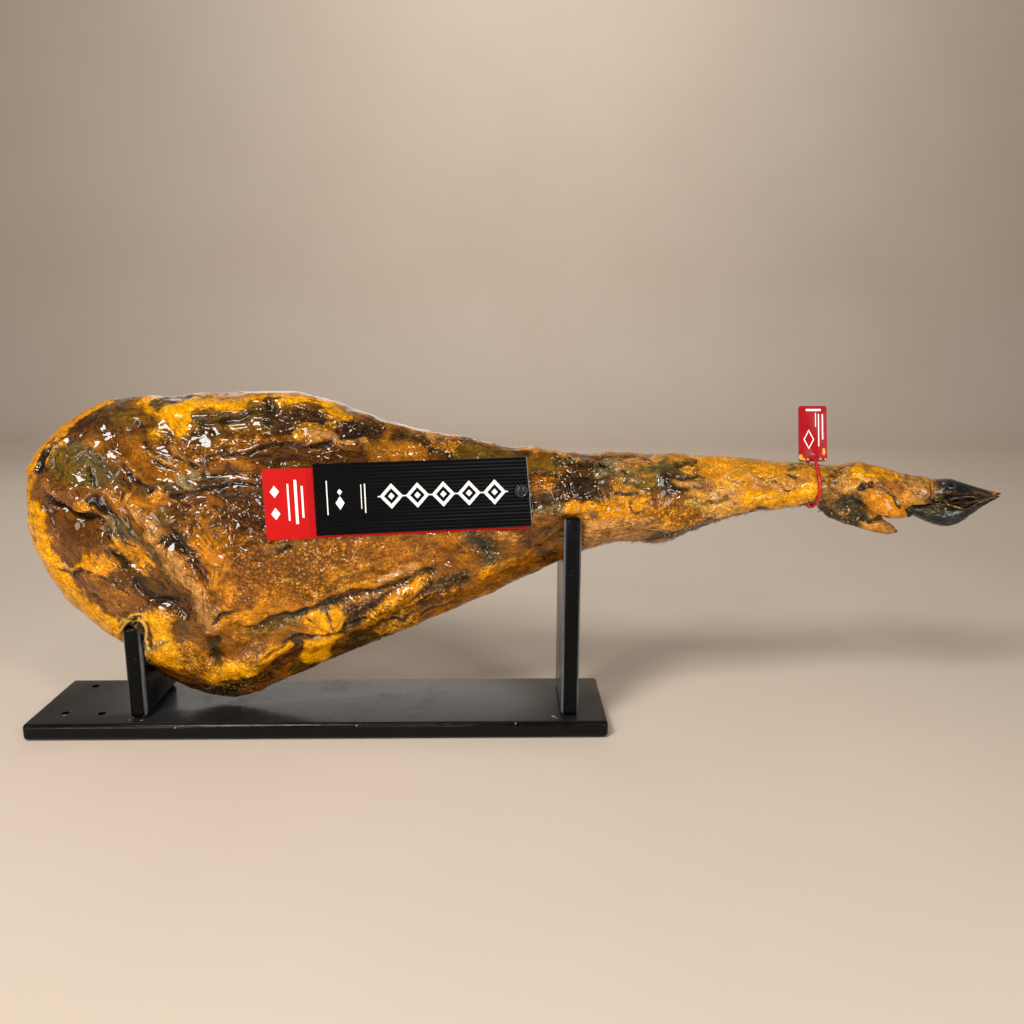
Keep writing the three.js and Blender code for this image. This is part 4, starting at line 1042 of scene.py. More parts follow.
def oily_flesh(name, bump_depth, gloss):
    """Dried flesh under a film of oil, in the tones, grain, pleats and creases kept in the mesh."""
    finish, shader, place = material(name)
    layers = {key: kept(place, key) for key in ("tone", "finish", "turns", "light", "deep")}
    grain, pleats, crease = layers["finish"].parts()
    shares = [*layers["turns"].parts(), layers["turns"].other("Alpha")]
    wrinkles = 0.0
    for degrees, share in zip(DIRECTIONS, shares):
        turn = (0, math.radians(degrees), 0)
        turned = put("ShaderNodeMapping", {"Vector": place, "Rotation": turn})
        ridge = noise(stretched(turned, (34.0, 90.0, 125.0)), 1.0, 2.0, 0.5, 0.8)
        wrinkles = wrinkles + abs(ridge - 0.5) * share
    valley = spread(wrinkles, 0.0, 0.09, 1.0, 0.0)
    ragged = noise(place, 70, 8, 0.66, 0.5)
    fine = noise(place, 380, 4, 0.6, 0.3)
    swirl = abs(noise(place, 120, 1.5, 0.5, 1.4) - 0.5)
    squiggle = abs(noise(place, 250, 1.0, 0.5, 1.7) - 0.5)
    beads = put("ShaderNodeTexVoronoi", {"Vector": place, "Scale": BEADS, "Smoothness": 0.25},
                "Distance", feature="SMOOTH_F1")
    cells = put("ShaderNodeTexVoronoi", {"Vector": place, "Scale": PORES}, "Distance")
    chosen = cells.other("Color").parts()[0]
    sown = spread(noise(place, 28, 3), 0.42, 0.62)
    drops = spread(cells, 0.06, 0.34, 1.0, 0.0) * (chosen * sown > 0.4)
    calm = spread(noise(place, 40, 3), 0.35, 0.65, 0.25, 1.2)
    colour = layers["tone"]
    loose = ragged + fine * 0.4 - 0.7
    for key, sunk, most in (("light", -0.35, 0.92), ("deep", 0.45, 0.85)):
        edge = layers[key].other("Alpha") + loose * 1.6
        edge = edge + (valley - 0.5) * sunk
        mask = spread(edge, 0.25, 0.85, 0.0, most) * spread(layers[key].other("Alpha"), 0.02, 0.3)
        colour = blend(mask, colour, layers[key])
    # Painted shade and highlight: the colour is darkened in the wrinkles' valleys, along the swirl and
    # squiggle lines and in the pores, and the fat beads are lightened at their middles and darkened at
    # their rims; the rest of this brightness drifts at random.
    lit = 1.0 - valley * spread(pleats, 0, 1, 0.3, 0.62)
    lit = lit * spread(ragged, 0.25, 0.75, 0.64, 1.54)
    lit = lit * spread(fine, 0.25, 0.75, 0.78, 1.2)
    lines = spread(swirl, 0.0, 0.05, 0.6, 1.04)
    lit = lit * blend_value(spread(grain, 0, 1, 0.25, 0.9), 1.0, lines)
    thin = spread(squiggle, 0.0, 0.1, 0.42, 1.1)
    lit = lit * blend_value(spread(ragged, 0.35, 0.6, 0.35, 0.95), 1.0, thin)
    pores = (chosen < 0.1) * spread(cells, 0.1, 0.34, 1.0, 0.0)
    pores = pores * spread(grain, 0.0, 1.0, 0.35, 0.9)
    lit = lit * (1.0 - pores * 0.8)
    lit = lit * (1.0 + grain * (spread(beads, 0.15, 0.62, 1.25, 0.35) - 1.0))
    grey = put("ShaderNodeCombineColor", {0: lit, 1: lit, 2: lit})
    colour = blend(1.0, colour, grey, "MULTIPLY")
    warm = spread(noise(place, 45, 5, 0.6), 0.42, 0.68, 0.0, 0.6)
    colour = blend(warm, colour, blend(1.0, colour, (0.86, 0.8, 0.66, 1), "MULTIPLY"))
    # Painted highlights: cream glints put into the colour along the squiggles' crests and on some of the
    # drops, strongest where the flesh is grainy.
    crest = spread(squiggle, 0.14, 0.22) * spread(ragged, 0.5, 0.6)
    fat = larger(crest, drops) * spread(grain, 0, 0.6, 0.08, 0.75)
    colour = blend(fat, colour, linear(246, 206, 146))
    film = spread(layers["light"].other("Alpha"), 0.3, 0.9, 0.7, 0.42)
    rough = spread(noise(place, 60, 3), 0.3, 0.7, gloss, gloss + 0.22)
    rough = rough + crease * 0.15
    height = spread(swirl, 0.0, 0.16) * spread(grain, 0, 1, 0.16, 0.34) + drops * 0.12
    curled = spread(noise(place, 22, 4, 0.6), 0.36, 0.56, 0.28, 0.72)
    height = height + spread(squiggle, 0.0, 0.24) * curled - pores * 0.15
    height = height + (0.5 - beads) * (grain * 1.3) + fine * 0.24
    height = height + wrinkles * (calm * (2.0 + pleats * 4.0))
    feed(shader, {"Base Color": colour, "Roughness": rough, "Coat Weight": film,
                  "Normal": raised(height, 1.0, bump_depth), "IOR": 1.15, "Coat Roughness": 0.04,
                  "Coat IOR": 1.45, "Subsurface Weight": 0.04, "Subsurface Radius": (1.0, 0.35, 0.1),
                  "Subsurface Scale": 0.002})
    return finish


def clouded(name, cloud, dark, light, gloss, bumps=None, ior=None):
    """A material whose colour and gloss drift in clouds between two tones, over an even fine relief."""
    finish, shader, place = material(name)
    drift = noise(place, *cloud)
    feed(shader, {"Base Color": blend(drift, linear(*dark), linear(*light)),
                  "Roughness": spread(drift, 0.3, 0.7, *gloss)})
    if bumps:
        scale, detail, strength, distance = bumps
        feed(shader, {"Normal": raised(noise(place, scale, detail), strength, distance)})
    if ior:
        feed(shader, {"IOR": ior})
    return finish


flesh = oily_flesh("oily flesh, fat and skin", 0.0011, 0.12)
wear(ham, flesh)


# Two small things lie on the ham: a curled lip of fat, squeezed out where the hip rests on its post, and
# the short dark bristles left in the rind under the shank. The lip is soft fat, the bristles are hair.
def placed(name, data):
    """A new object in the scene with that data, selected alone."""
    piece = bpy.data.objects.new(name, data)
    bpy.context.scene.collection.objects.link(piece)
    only(piece)
    return piece


def new_curve(name, radius, roundness):
    """An empty round curve of that radius in mm."""
    curve = bpy.data.curves.new(name, "CURVE")
    curve.dimensions = "3D"
    curve.bevel_depth = radius * MM
    curve.bevel_resolution = roundness
    return curve


def tube(name, points, radius, closed=False, swells=None):
    """A round tube through the points in mm, as the active object, a mesh."""
    curve = new_curve(name, radius, 5)
    curve.use_fill_caps = True
    spline = curve.splines.new("NURBS")
    spline.points.add(len(points) - 1)
    for i, (spot, p) in enumerate(zip(spline.points, points)):
        spot.co = (*[c * MM for c in p], 1)
        spot.radius = swells[i] if swells else 1
    spline.use_cyclic_u = closed
    spline.use_endpoint_u = not closed
    spline.order_u = 3
    spline.resolution_u = 6
    placed(name, curve)
    bpy.ops.object.convert(target="MESH")
    bpy.ops.object.shade_smooth()


def lay_on(x, z, lift):
    """Where the sight line through a place on the middle plane meets the ham, lifted off it, in mm."""
    start = Vector(VIEWPOINT * MM)
    way = (Vector((x, 0, z)) * MM - start).normalized()
    spot, normal = surface.ray_cast(start, way)[:2]
    return (spot + normal * lift * MM) / MM if spot else None


only(ham)
surface = BVHTree.FromObject(ham, bpy.context.evaluated_depsgraph_get())
LIP = [(-181.4, 74.7), (-179.9, 81.5), (-176.2, 87.6), (-172.4, 91.9), (-168.5, 90.2), (-164.8, 91.4),
       (-161.1, 91.5), (-158.2, 88.5), (-156.6, 83.3), (-156.8, 77.5), (-158.2, 72.8), (-156.6, 70.1),
       (-157.4, 66.9), (-155.3, 63.6), (-157.6, 61.3)]
lip_path = [lay_on(x, z, 0.4) for x, z in LIP]
lip_path = [tuple(p) for p in lip_path if p]
swells = [0.5, 1.0, 1.2, 1.4, 0.8, 1.1, 1.2, 1.3, 1.1, 0.9, 1.0, 1.5, 0.9, 1.6, 0.9][:len(lip_path)]
tube("lip", lip_path, 1.15, swells=swells)
lip = made("fat_lip_at_hip_post", "cured_ham")
wear(lip, clouded("squeezed fat", (300, 5, 0.6), (168, 116, 34), (232, 190, 92), (0.20, 0.4),
                  (500, 4, 0.8, 0.0006)))

chance = np.random.default_rng(7)
hair = new_curve("bristles", 0.24, 0)
for _ in range(420):
    x, y = chance.uniform(262, 440), chance.uniform(-22, 20)
    spot, normal = surface.ray_cast(Vector((x, y, 20)) * MM, Vector((0, 0, 1)))[:2]
    if not spot or normal.z > -0.25 or chance.random() > 0.75 + 0.25 * math.sin(x / 9):
        continue
    lean = Vector(chance.uniform(-1, 1, 3)) * 0.5 + Vector((-0.7, 0, -0.2))
    way = (normal + lean).normalized()
    length = chance.uniform(1.2, 3.6) * MM
    spline = hair.splines.new("POLY")
    spline.points.add(2)
    for i, spline_point in enumerate(spline.points):
        along = i / 2
        bend = Vector((-0.25, 0, 0)) * along ** 2
        spline_point.co = (*(spot - normal * 0.3 * MM + (way * along + bend) * length), 1)
        spline_point.radius = (1.0, 0.8, 0.25)[i]
placed("bristles", hair)
bpy.ops.object.convert(target="MESH")
bristles = made("shank_bristles", "cured_ham")
wear(bristles, clouded("dark bristle", (60, 3), (20, 14, 8), (74, 46, 20), (0.3, 0.5)))


# The hoof is two claws of dark horn. The near claw shows its sole: a brown hollow with a bright rim.
# The horn is ridged along its growth, polished dark, with amber at the worn tips.
HOOF_TONES = {
    "horn": (15, 15, 17), "slate": (40, 44, 47), "silver": (128, 130, 130),
    "sole": (30, 19, 12),
    "taupe": (112, 88, 66), "amberTip": (150, 42, 18), "claw": (96, 66, 40), "heel": (86, 80, 52),
    "gleam": (196, 138, 52), "band": (96, 80, 62), "lap": (196, 132, 56),
}
TONES.update(HOOF_TONES)
HOOF_MARKS = [
    ("sole hollow", "sole", 0.95, 5, -2, "", [(551, 201), (557, 200), (566, 198)]),
    ("sole hollow far", "sole", 0.9, 4, -1.5, "", [(565, 201), (576, 201)]),
    ("taupe band", "taupe", 0.9, 2.6, 0.5, "pleats", [(549, 206), (562, 206), (576, 205), (585, 203)]),
    ("upper gleam line", "slate", 0.8, 2, 0.4, "", [(545, 217), (562, 212), (575, 208), (587, 205)]),
    ("silver rim", "silver", 0.95, 0.8, 0.5, "",
     [(555, 186), (563, 189), (570, 193), (579, 198), (590, 203)]),
    ("wet rim of the sole", "gleam", 0.7, 0.7, 0.4, "grain",
     [(545, 198), (551, 196), (557, 194), (562, 194)]),
    ("dark rim of the sole", "horn", 0.95, 2.5, 0, "", [(543, 205), (547, 197), (554, 192)]),
    ("slate flank", "slate", 0.8, 5, 0, "pleats", [(532, 189), (544, 186), (555, 181)]),
    ("slate flank right", "slate", 0.7, 4, 0, "pleats", [(562, 185), (570, 189), (577, 193)]),
    ("pale streaks", "heel", 0.7, 1.2, 0.3, "pleats", [(521, 190), (531, 190), (544, 189)]),
    ("heel olive", "heel", 0.85, 5, 0, "grain", [(541, 198), (543, 193), (537, 190)]),
    ("heel stub", "horn", 0.9, 4, 0.5, "pleats", [(510, 198), (513, 192), (518, 187)]),
    ("heel stub middle", "heel", 0.8, 2.2, 0, "", [(512, 197), (515, 191)]),
    ("far strip", "claw", 0.95, 1.6, 0.4, "pleats", [(568, 213), (578, 211), (588, 209)]),
    ("far strip gleam", "gleam", 0.8, 0.9, 0.3, "", [(575, 210), (586, 207)]),
    ("red tip", "amberTip", 0.9, 1.4, 0, "grain", [(590, 205), (592, 202)]),
    ("amber by the tip", "gleam", 0.8, 1.6, 0, "grain", [(587, 207), (589, 206)]),
    ("brown underside", "claw", 0.5, 3, 0, "pleats", [(564, 190), (573, 193)]),
    ("inner edge of the sole", "sole", 1, 3, 0, "", [(544, 197), (556, 198), (575, 202)]),
    ("skin over the coronet", "lap", 1, 4.2, 0.5, "pleats",
     [(533, 216), (534, 212), (535, 208), (534, 204)]),
    ("coronet band", "band", 0.95, 4.6, 0.3, "grain", [(541, 215), (542, 211), (542, 205), (540, 202)]),
    ("olive by the knob", "heel", 0.9, 3.5, 0.2, "grain", [(541, 201), (543, 197)]),
    ("dark hollow", "sole", 1, 6, -1, "", [(552, 199), (559, 198), (568, 196)]),
    ("black wall above", "horn", 1, 3, 0, "", [(547, 209), (558, 207), (569, 204)]),
    ("taupe wall", "taupe", 1, 2.2, 0.4, "pleats", [(549, 205), (562, 202), (573, 201), (583, 200)]),
    ("bead line", "gleam", 0.9, 0.6, 0.4, "grain", [(547, 198), (552, 195), (558, 193), (564, 192)]),
]


def dress_horn(piece, tone_name, roughest):
    """Gives a piece of horn its marks, growth ridges, attributes and material."""
    points, normals = mesh_points(piece)
    edges = edge_pairs(piece)
    ground = np.tile(tint(*TONES[tone_name]), (len(points), 1))
    read = mark_surface(points, normals, HOOF_MARKS, ground, (1, 0), 0.25)
    height = read["height"]
    growth = np.sin((points[:, 2] - 0.35 * points[:, 0]) * 1.9 + 1.5 * rough_field(points, 7, 41))
    height += 0.12 * growth + roughest * rough_field(points, 5, 42)
    height = np.clip(neighbour_mean(height, edges, 1), -3, max(0.3, roughest))
    crease = np.clip((neighbour_mean(height, edges, 12) - height) / 0.8, 0, 1)
    # Painted shade: the horn's colours are darkened in its creases.
    for layer in (read["tone"], read["light"], read["deep"]):
        layer[:, :3] *= (1 - 0.5 * crease)[:, None]
    move_to(piece, points + normals * height[:, None])
    write_marks(piece, read, crease)
    only(piece)
    bpy.ops.object.shade_smooth()
    wear(piece, oily_flesh("polished horn of the " + piece.name, 0.0004, 0.14))


def ball(centre, half, fineness, lean=0):
    """A ball drawn out to three half sizes in mm, as the active object."""
    deselect()
    bpy.ops.mesh.primitive_ico_sphere_add(subdivisions=fineness, radius=MM,
                                          location=[c * MM for c in centre])
    bpy.context.object.scale = half
    bpy.context.object.rotation_euler = (0, math.radians(lean), 0)
    return settled()


def horn_lump(name, centre, half, lean, tone_name):
    """A lump of horn between or behind the claws, from a ball drawn out and roughened."""
    ball(centre, half, 5, lean)
    dress_horn(made(name, "hoof_horn"), tone_name, 0.9)


for node in ("hoof_upper", "hoof_lower"):
    copy_of(node)
    claw = made(node + "_horn", "hoof_horn", node)
    remeshed(claw, 0.75, 5)
    dress_horn(claw, "horn", 0.2)
horn_lump("hoof_web_between_claws", (559, 1.5, 200.6), (27, 4.5, 3.6), -5, "sole")
horn_lump("hoof_heel_bulb", (512.5, -5.5, 193.4), (5.8, 7.0, 8.0), 12, "horn")


# The label is a black card over a longer red one, folded behind it and held by a push stud. The black card
# is matt with fine raised ribs. Both carry plain printed rules and marks, in white.
def print_group(name, shape):
    """A printed mark on a card: 1 inside the shape, from its distances along X and Z and its half sizes."""
    group, (place, centre, half_length, half_width), result = mask_group(name, "Length", "Width")
    away = put("ShaderNodeVectorMath", {0: place, 1: centre}, operation="SUBTRACT")
    x, _, z = away.parts()
    feed(result, {"Mask": shape(abs(x), abs(z), half_length, half_width)})
    return group


BAR = print_group("printed bar", lambda x, z, length, width: (x < length) * (z < width))
LOZENGE = print_group("printed lozenge", lambda x, z, length, width: x / length + z / width < 1.0)


def seen_from(place, frame_place):
    """The place in a sheet's own frame: X along it, Y through it, Z up it."""
    back = frame_place.inverted()
    return put("ShaderNodeMapping", {"Vector": place, "Location": back.to_translation(),
                                                 "Rotation": back.to_euler("XYZ")})


def printed(place, prints):
    """All the printed marks together: kind, centre x and z, half length and half width in mm."""
    return overlaid([masked(place, kind, (x, 0, z), Length=half_length, Width=half_width)
                     for kind, x, z, half_length, half_width in prints])


# The cards' hoof end is cut askew, and the black one's ribs stand this far apart in mm.
CARD_SKEW = 0.075
RIB_PITCH = 2.9


def card_sheet(name, slot_name, node, left, right, bottom, top, front, thick, rows, shape):
    """A card as a fine grid with its front shaped by a function of its own x and z, and given its wall."""
    deselect()
    bpy.ops.mesh.primitive_grid_add(x_subdivisions=int((right - left) / 1.5), y_subdivisions=rows, size=1)
    sheet = bpy.context.object
    spots = mesh_points(sheet)[0] * MM
    x = (spots[:, 0] + 0.5) * (right - left) + left
    z = (spots[:, 1] + 0.5) * (top - bottom) + bottom
    skew = -CARD_SKEW * z * step(0, right, x)
    local = np.stack([x + skew, front - shape(x, z), z, np.full(len(x), 1 / MM)], 1) * MM
    move_to(sheet, (local @ np.array(LABEL_PLACE).T)[:, :3] / MM)
    wall = sheet.modifiers.new("thickness", "SOLIDIFY")
    wall.thickness = thick * MM
    wall.offset = -1
    bpy.context.view_layer.objects.active = sheet
    piece = made(name, slot_name, node)
    apply_all(piece)
    smooth_below(50)
    return piece


def ribs(x, z):
    """Raised ribs along the card, lower towards its folded end."""
    strong = 0.35 + 0.65 * step(-60, 0, x)
    wave = 0.5 + 0.5 * np.cos(2 * math.pi * z / RIB_PITCH)
    flat_end = step(-87, -84, x) * (1 - step(84.5, 86.5, x))
    return 0.16 * strong * wave ** 1.5 * flat_end


def fold_dip(x, z):
    """The red card bends back a little before it goes behind the black one."""
    return -0.5 * step(-97, -90, x)


black_card = card_sheet("label_black_card_ribbed", "black_card", "label_black_card",
                        -87, 87, -29.25, 29.25, 0.16, 0.8, 232, ribs)
finish, shader, place = material("matt black card")
place = seen_from(place, LABEL_PLACE)
LOZENGES_AT = (-26, -5, 16, 37, 58)
outer, hollow, core = (
    printed(place, [(LOZENGE, x, 1, half_length, half_width) for x in LOZENGES_AT])
    for half_length, half_width in ((9.5, 10.5), (6.0, 6.6), (2.6, 2.9)))
rules = printed(place, [(BAR, 16, 1, 53, 0.45), (BAR, -47, 0, 0.5, 12), (BAR, -50, 1.5, 0.35, 10),
                        (LOZENGE, -67, -3, 3.6, 5.6), (LOZENGE, -67, 6, 2.0, 2.6),
                        (BAR, -77, 1.5, 0.45, 14)])
ink = larger(core, larger(outer, rules) * (1.0 - hollow))
along, _, up = place.parts()
# Painted highlight: the ribs' tops are lightened in streaks along them, faintly at the folded end and most
# at the hoof end.
rib_highlight = reckon("COSINE", up * (2 * math.pi / (RIB_PITCH * MM)))
rib_highlight = spread(rib_highlight, -0.2, 1.0) * spread(along, -0.07, 0.087, 0.1, 1.0)
cloud = noise(place, 60, 4)
fleck = spread(noise(place, 1400, 2), 0.68, 0.75, 0.0, 0.3)
colour = blend(fleck, blend(cloud, linear(4, 4, 5), linear(9, 9, 10)), linear(80, 82, 86))
streak = noise(stretched(place, (9.0, 1.0, 420.0)), 1.0, 4)
colour = blend(rib_highlight * spread(streak, 0.35, 0.65, 0.25, 1.0), colour, linear(40, 41, 44))
cut_end = along + up * CARD_SKEW > 0.0866
colour = blend(cut_end, colour, linear(120, 134, 140))
feed(shader, {"Base Color": blend(ink, colour, linear(236, 236, 234)),
              "Roughness": spread(cloud, 0.3, 0.7, 0.4, 0.52), "IOR": 1.12,
              "Normal": raised(noise(place, 1600, 3), 0.25, 0.0001)})
wear(black_card, finish)

red_card = card_sheet("label_red_card_folded", "red_card", "label_red_card",
                      -126.5, 84, -31.4, 26.2, 1.3, 0.8, 24, fold_dip)
finish, shader, place = material("matt red card")
place = seen_from(place, LABEL_PLACE)
ink = printed(place, [(BAR, -96.5, -1, 0.8, 13), (BAR, -101.5, -1, 1.1, 18), (BAR, -107.5, -1, 0.7, 15),
                      (LOZENGE, -118, 8, 3.6, 5.0), (LOZENGE, -118, -10, 3.6, 5.0)])
cloud = noise(place, 45, 4)
colour = blend(cloud, linear(178, 20, 19), linear(192, 26, 24))
shade = spread(place.parts()[0], -0.0935, -0.0915, 0.0, 0.75)
colour = blend(shade, colour, linear(168, 18, 22))
feed(shader, {"Base Color": blend(ink, colour, linear(250, 240, 236)),
              "Roughness": spread(cloud, 0.3, 0.7, 0.42, 0.55), "IOR": 1.15,
              "Normal": raised(noise(place, 1500, 3), 0.2, 0.0001)})
wear(red_card, finish)


# The push stud is a turned button of black plastic. Its shaft goes through both cards into the ham.
# It has a raised rim, a ring groove round a small dome, and a smooth moulded gloss.
STUD_ALONG, STUD_UP = 79.9, 1.3
STUD_PROFILE = [(0, -13), (1.4, -13), (2, -12), (2, 0), (5.5, 0), (5.8, 0.35), (5.8, 1.5), (5.5, 2.0),
                (5.0, 2.25), (4.5, 2.1), (4.2, 1.7), (3.7, 1.62), (3.3, 1.9), (2.7, 2.3), (1.8, 2.5),
                (0.8, 2.58), (0, 2.6)]
mesh = bpy.data.meshes.new("stud profile")
mesh.from_pydata([(r * MM, 0, h * MM) for r, h in STUD_PROFILE],
                 [(i, i + 1) for i in range(len(STUD_PROFILE) - 1)], [])
stud = placed("stud", mesh)
bpy.ops.object.mode_set(mode="EDIT")
bpy.ops.mesh.select_all(action="SELECT")
bpy.ops.mesh.spin(steps=48, angle=2 * math.pi, center=(0, 0, 0), axis=(0, 0, 1))
bpy.ops.mesh.select_all(action="SELECT")
bpy.ops.mesh.remove_doubles(threshold=0.01 * MM)
bpy.ops.mesh.normals_make_consistent(inside=False)
bpy.ops.object.mode_set(mode="OBJECT")
seat = Matrix.Translation((STUD_ALONG * MM, -0.0003, STUD_UP * MM)) @ Matrix.Rotation(math.pi / 2, 4, "X")
stud.data.transform(LABEL_PLACE @ seat)
stud = made("label_stud_turned", "black_plastic", "label_stud")
smooth_below(50)
wear(stud, clouded("moulded black plastic", (400, 3), (9, 9, 10), (17, 17, 19), (0.18, 0.34),
                   (1200, 3, 0.06, 0.0001), 1.5))


# The seal's strap is a round red plastic tie, drawn tight round the shank in front of the foot's joint.
# It runs through the foot of the tag on top and ends below in a small knot.
STRAP_RADIUS = 1.4
STRAP_MIDDLE = 213.0
STRAP_TOP = 238.4


def strap_x(angle):
    """The strap bows a little towards the hoof on its front side."""
    return 427.0 + 0.6 * max(0.0, -math.cos(angle))


def skin_reach(x, angle):
    """How far the skin is from the shank's middle in that direction across it, in mm."""
    away = Vector((0, math.cos(angle), math.sin(angle)))
    start = Vector((x * MM, 0, STRAP_MIDDLE * MM)) + away * 0.08
    hit = surface.ray_cast(start, -away)[0]
    return (80 - (hit - start).length / MM) if hit else 18.0


turns = [2 * math.pi * i / 48 for i in range(48)]
reaches = [skin_reach(strap_x(a), a) for a in turns]
reaches = [max(reaches[i - 1], reaches[i], reaches[(i + 1) % 48]) for i in range(48)]
path = []
for a, reach in zip(turns, reaches):
    out = reach + STRAP_RADIUS * 0.75
    top = max(0.0, math.sin(a)) ** 8
    rise = (STRAP_TOP - STRAP_MIDDLE - out) * top
    path.append((strap_x(a), math.cos(a) * out, STRAP_MIDDLE + math.sin(a) * out + rise))
tube("strap", path, STRAP_RADIUS, True)
strap = made("seal_strap_round", "red_strap", "seal_strap")
low = min(path, key=lambda p: p[2] + 0.35 * p[1])
knot_path = [(low[0] + 0.5, low[1] - 2.0, low[2] + 0.6), (low[0] - 1.8, low[1] - 3.0, low[2] - 0.2),
             (low[0] - 4.2, low[1] - 3.0, low[2] + 1.2), (low[0] - 5.4, low[1] - 2.4, low[2] + 3.4)]
tube("knot", knot_path, 1.1)
knot = made("seal_strap_end", "red_strap")


def red_tie(name):
    finish, shader, place = material(name)
    cloud = noise(place, 220, 5, 0.6)
    grime = spread(noise(place, 130, 5, 0.65), 0.52, 0.68, 0.0, 0.6)
    colour = blend(cloud, linear(150, 10, 22), linear(214, 24, 38))
    feed(shader, {"Base Color": blend(grime, colour, linear(92, 22, 16)),
                  "Roughness": spread(cloud, 0.3, 0.7, 0.22, 0.45),
                  "Normal": raised(noise(place, 500, 4), 0.5, 0.0003)})
    return finish


wear(strap, red_tie("red plastic tie"))
wear(knot, red_tie("soiled end of the tie"))


# The seal's tag is a stiff plate of glossy red plastic with rounded corners, threaded on the strap.
# It stands on the shank and leans back, printed with plain white rules, and smeared with fat at its foot.
def pick_edges(piece, wanted):
    """Opens a piece for editing, with only the edges selected whose two ends are as wanted."""
    only(piece)
    bpy.ops.object.mode_set(mode="EDIT")
    bpy.ops.mesh.select_mode(type="EDGE")
    bpy.ops.mesh.select_all(action="DESELECT")
    bpy.ops.object.mode_set(mode="OBJECT")
    for edge in piece.data.edges:
        edge.select = wanted(*(piece.data.vertices[i].co for i in edge.vertices))
    bpy.ops.object.mode_set(mode="EDIT")


def round_corners(piece, axis, radius, segments):
    """Rounds the four corners of a plate round the edges that run along an axis through it."""
    pick_edges(piece, lambda a, b: abs(a[axis] - b[axis]) > MM)
    bpy.ops.mesh.bevel(offset=radius * MM, segments=segments, affect="EDGES")
    bpy.ops.object.mode_set(mode="OBJECT")


TAG_WIDTH, TAG_HEIGHT, TAG_THICK = 24.3, 48.0, 1.6
TAG_HOLE_UP = 5.0
TAG_LEAN = math.radians(14)
TAG_FOOT = (427.0, -TAG_HOLE_UP * math.sin(TAG_LEAN), STRAP_TOP - TAG_HOLE_UP * math.cos(TAG_LEAN))
TAG_PLACE = Matrix.Translation([c * MM for c in TAG_FOOT]) @ Matrix.Rotation(-TAG_LEAN, 4, "X")

tag = block((-TAG_WIDTH / 2, -TAG_THICK / 2, 0), (TAG_WIDTH / 2, TAG_THICK / 2, TAG_HEIGHT))
round_corners(tag, 1, 2, 6)
cut(tag, rod((0, 0, TAG_HOLE_UP), 2.3, 6, 32, (math.pi / 2, 0, 0)))
for nick_x, nick_z in ((12.35, 35.5), (12.4, 11.5), (-12.4, 30.0)):
    cut(tag, ball((nick_x, -0.7, nick_z), (0.6, 0.6, 0.6), 2))
bevel(tag, 0.3, 2)
tag.data.transform(TAG_PLACE)
only(tag)
tag = made("seal_tag_plate", "red_plastic", "seal_tag")
finish, shader, place = material("glossy red plastic")
place = seen_from(place, TAG_PLACE)
_, through, up = place.parts()
rules = printed(place, [(BAR, 0.5, 44.5, 6.5, 0.9), (BAR, 8.4, 30, 0.55, 11), (BAR, 5.0, 27, 0.45, 14),
                        (BAR, 2.4, 36, 0.35, 6), (LOZENGE, -3.6, 19, 4.6, 8.6)])
hollow = printed(place, [(LOZENGE, -3.6, 19, 3.6, 6.8)])
ink = rules * (1.0 - hollow) * (through < 0.0)
cloud = noise(place, 90, 4)
colour = blend(cloud, linear(138, 8, 16), linear(172, 14, 24))
colour = blend(ink, colour, linear(244, 236, 232))
soil = spread(up, 0.0, 0.008, 1.0, 0.0) * spread(noise(place, 260, 4), 0.42, 0.58)
feed(shader, {"Base Color": blend(soil, colour, linear(96, 34, 18)),
              "Roughness": spread(cloud, 0.3, 0.7, 0.26, 0.36), "IOR": 1.26,
              "Normal": raised(noise(place, 260, 3), 0.15, 0.0002)})
wear(tag, finish)

SPLASHES = [(-10.6, 3.6, 1.9, 2.6), (-8.2, 1.8, 1.6, 1.2), (9.4, 8.4, 1.5, 3.2), (6.4, 2.2, 1.2, 1.0),
            (10.8, 1.8, 1.0, 1.2), (-4.6, 1.6, 1.2, 0.9)]
spots = []
for splash_x, splash_z, wide, tall in SPLASHES:
    drop = ball((splash_x, -TAG_THICK / 2, splash_z), (wide, 0.55, tall), 3)
    places, outward = mesh_points(drop)
    move_to(drop, places + outward * rough_field(places, 1.1, 51)[:, None] * 0.3)
    drop.data.transform(TAG_PLACE)
    spots.append(drop)
deselect()
for drop in spots:
    drop.select_set(True)
bpy.context.view_layer.objects.active = spots[0]
bpy.ops.object.join()
splashes = made("seal_fat_splashes", "cured_ham")
bpy.ops.object.shade_smooth()
wear(splashes, clouded("fat on the tag", (700, 4), (206, 118, 20), (246, 184, 60), (0.18, 0.35),
                       (900, 3, 0.5, 0.0003)))


# The floor is one pale sheet, swept up behind like a studio's. The lamps are round and soft: the key high
# at the left, one at the right, one behind, one on the backdrop, and small ones that glint on the oil.
FLOOR_DROP = 0.0002
deselect()
bpy.ops.mesh.primitive_plane_add(size=1, location=(0.1, -2.1, -FLOOR_DROP))
bpy.context.object.scale = (12, 7.8, 1)
floor = settled()
pick_edges(floor, lambda a, b: min(a.y, b.y) > 1.7)
SWEEP = 0.5
bends = [math.pi / 2 * i / 12 for i in range(13)]
for last, turn in zip(bends, bends[1:]):
    ahead = SWEEP * (math.sin(turn) - math.sin(last))
    rise = SWEEP * (math.cos(last) - math.cos(turn))
    bpy.ops.mesh.extrude_region_move(TRANSFORM_OT_translate={"value": (0, ahead, rise)})
bpy.ops.mesh.extrude_region_move(TRANSFORM_OT_translate={"value": (0, 0, 2.6)})
bpy.ops.object.mode_set(mode="OBJECT")
floor.name = floor.data.name = "studio_floor"
smooth_below(30)
finish, shader, place = material("pale floor")
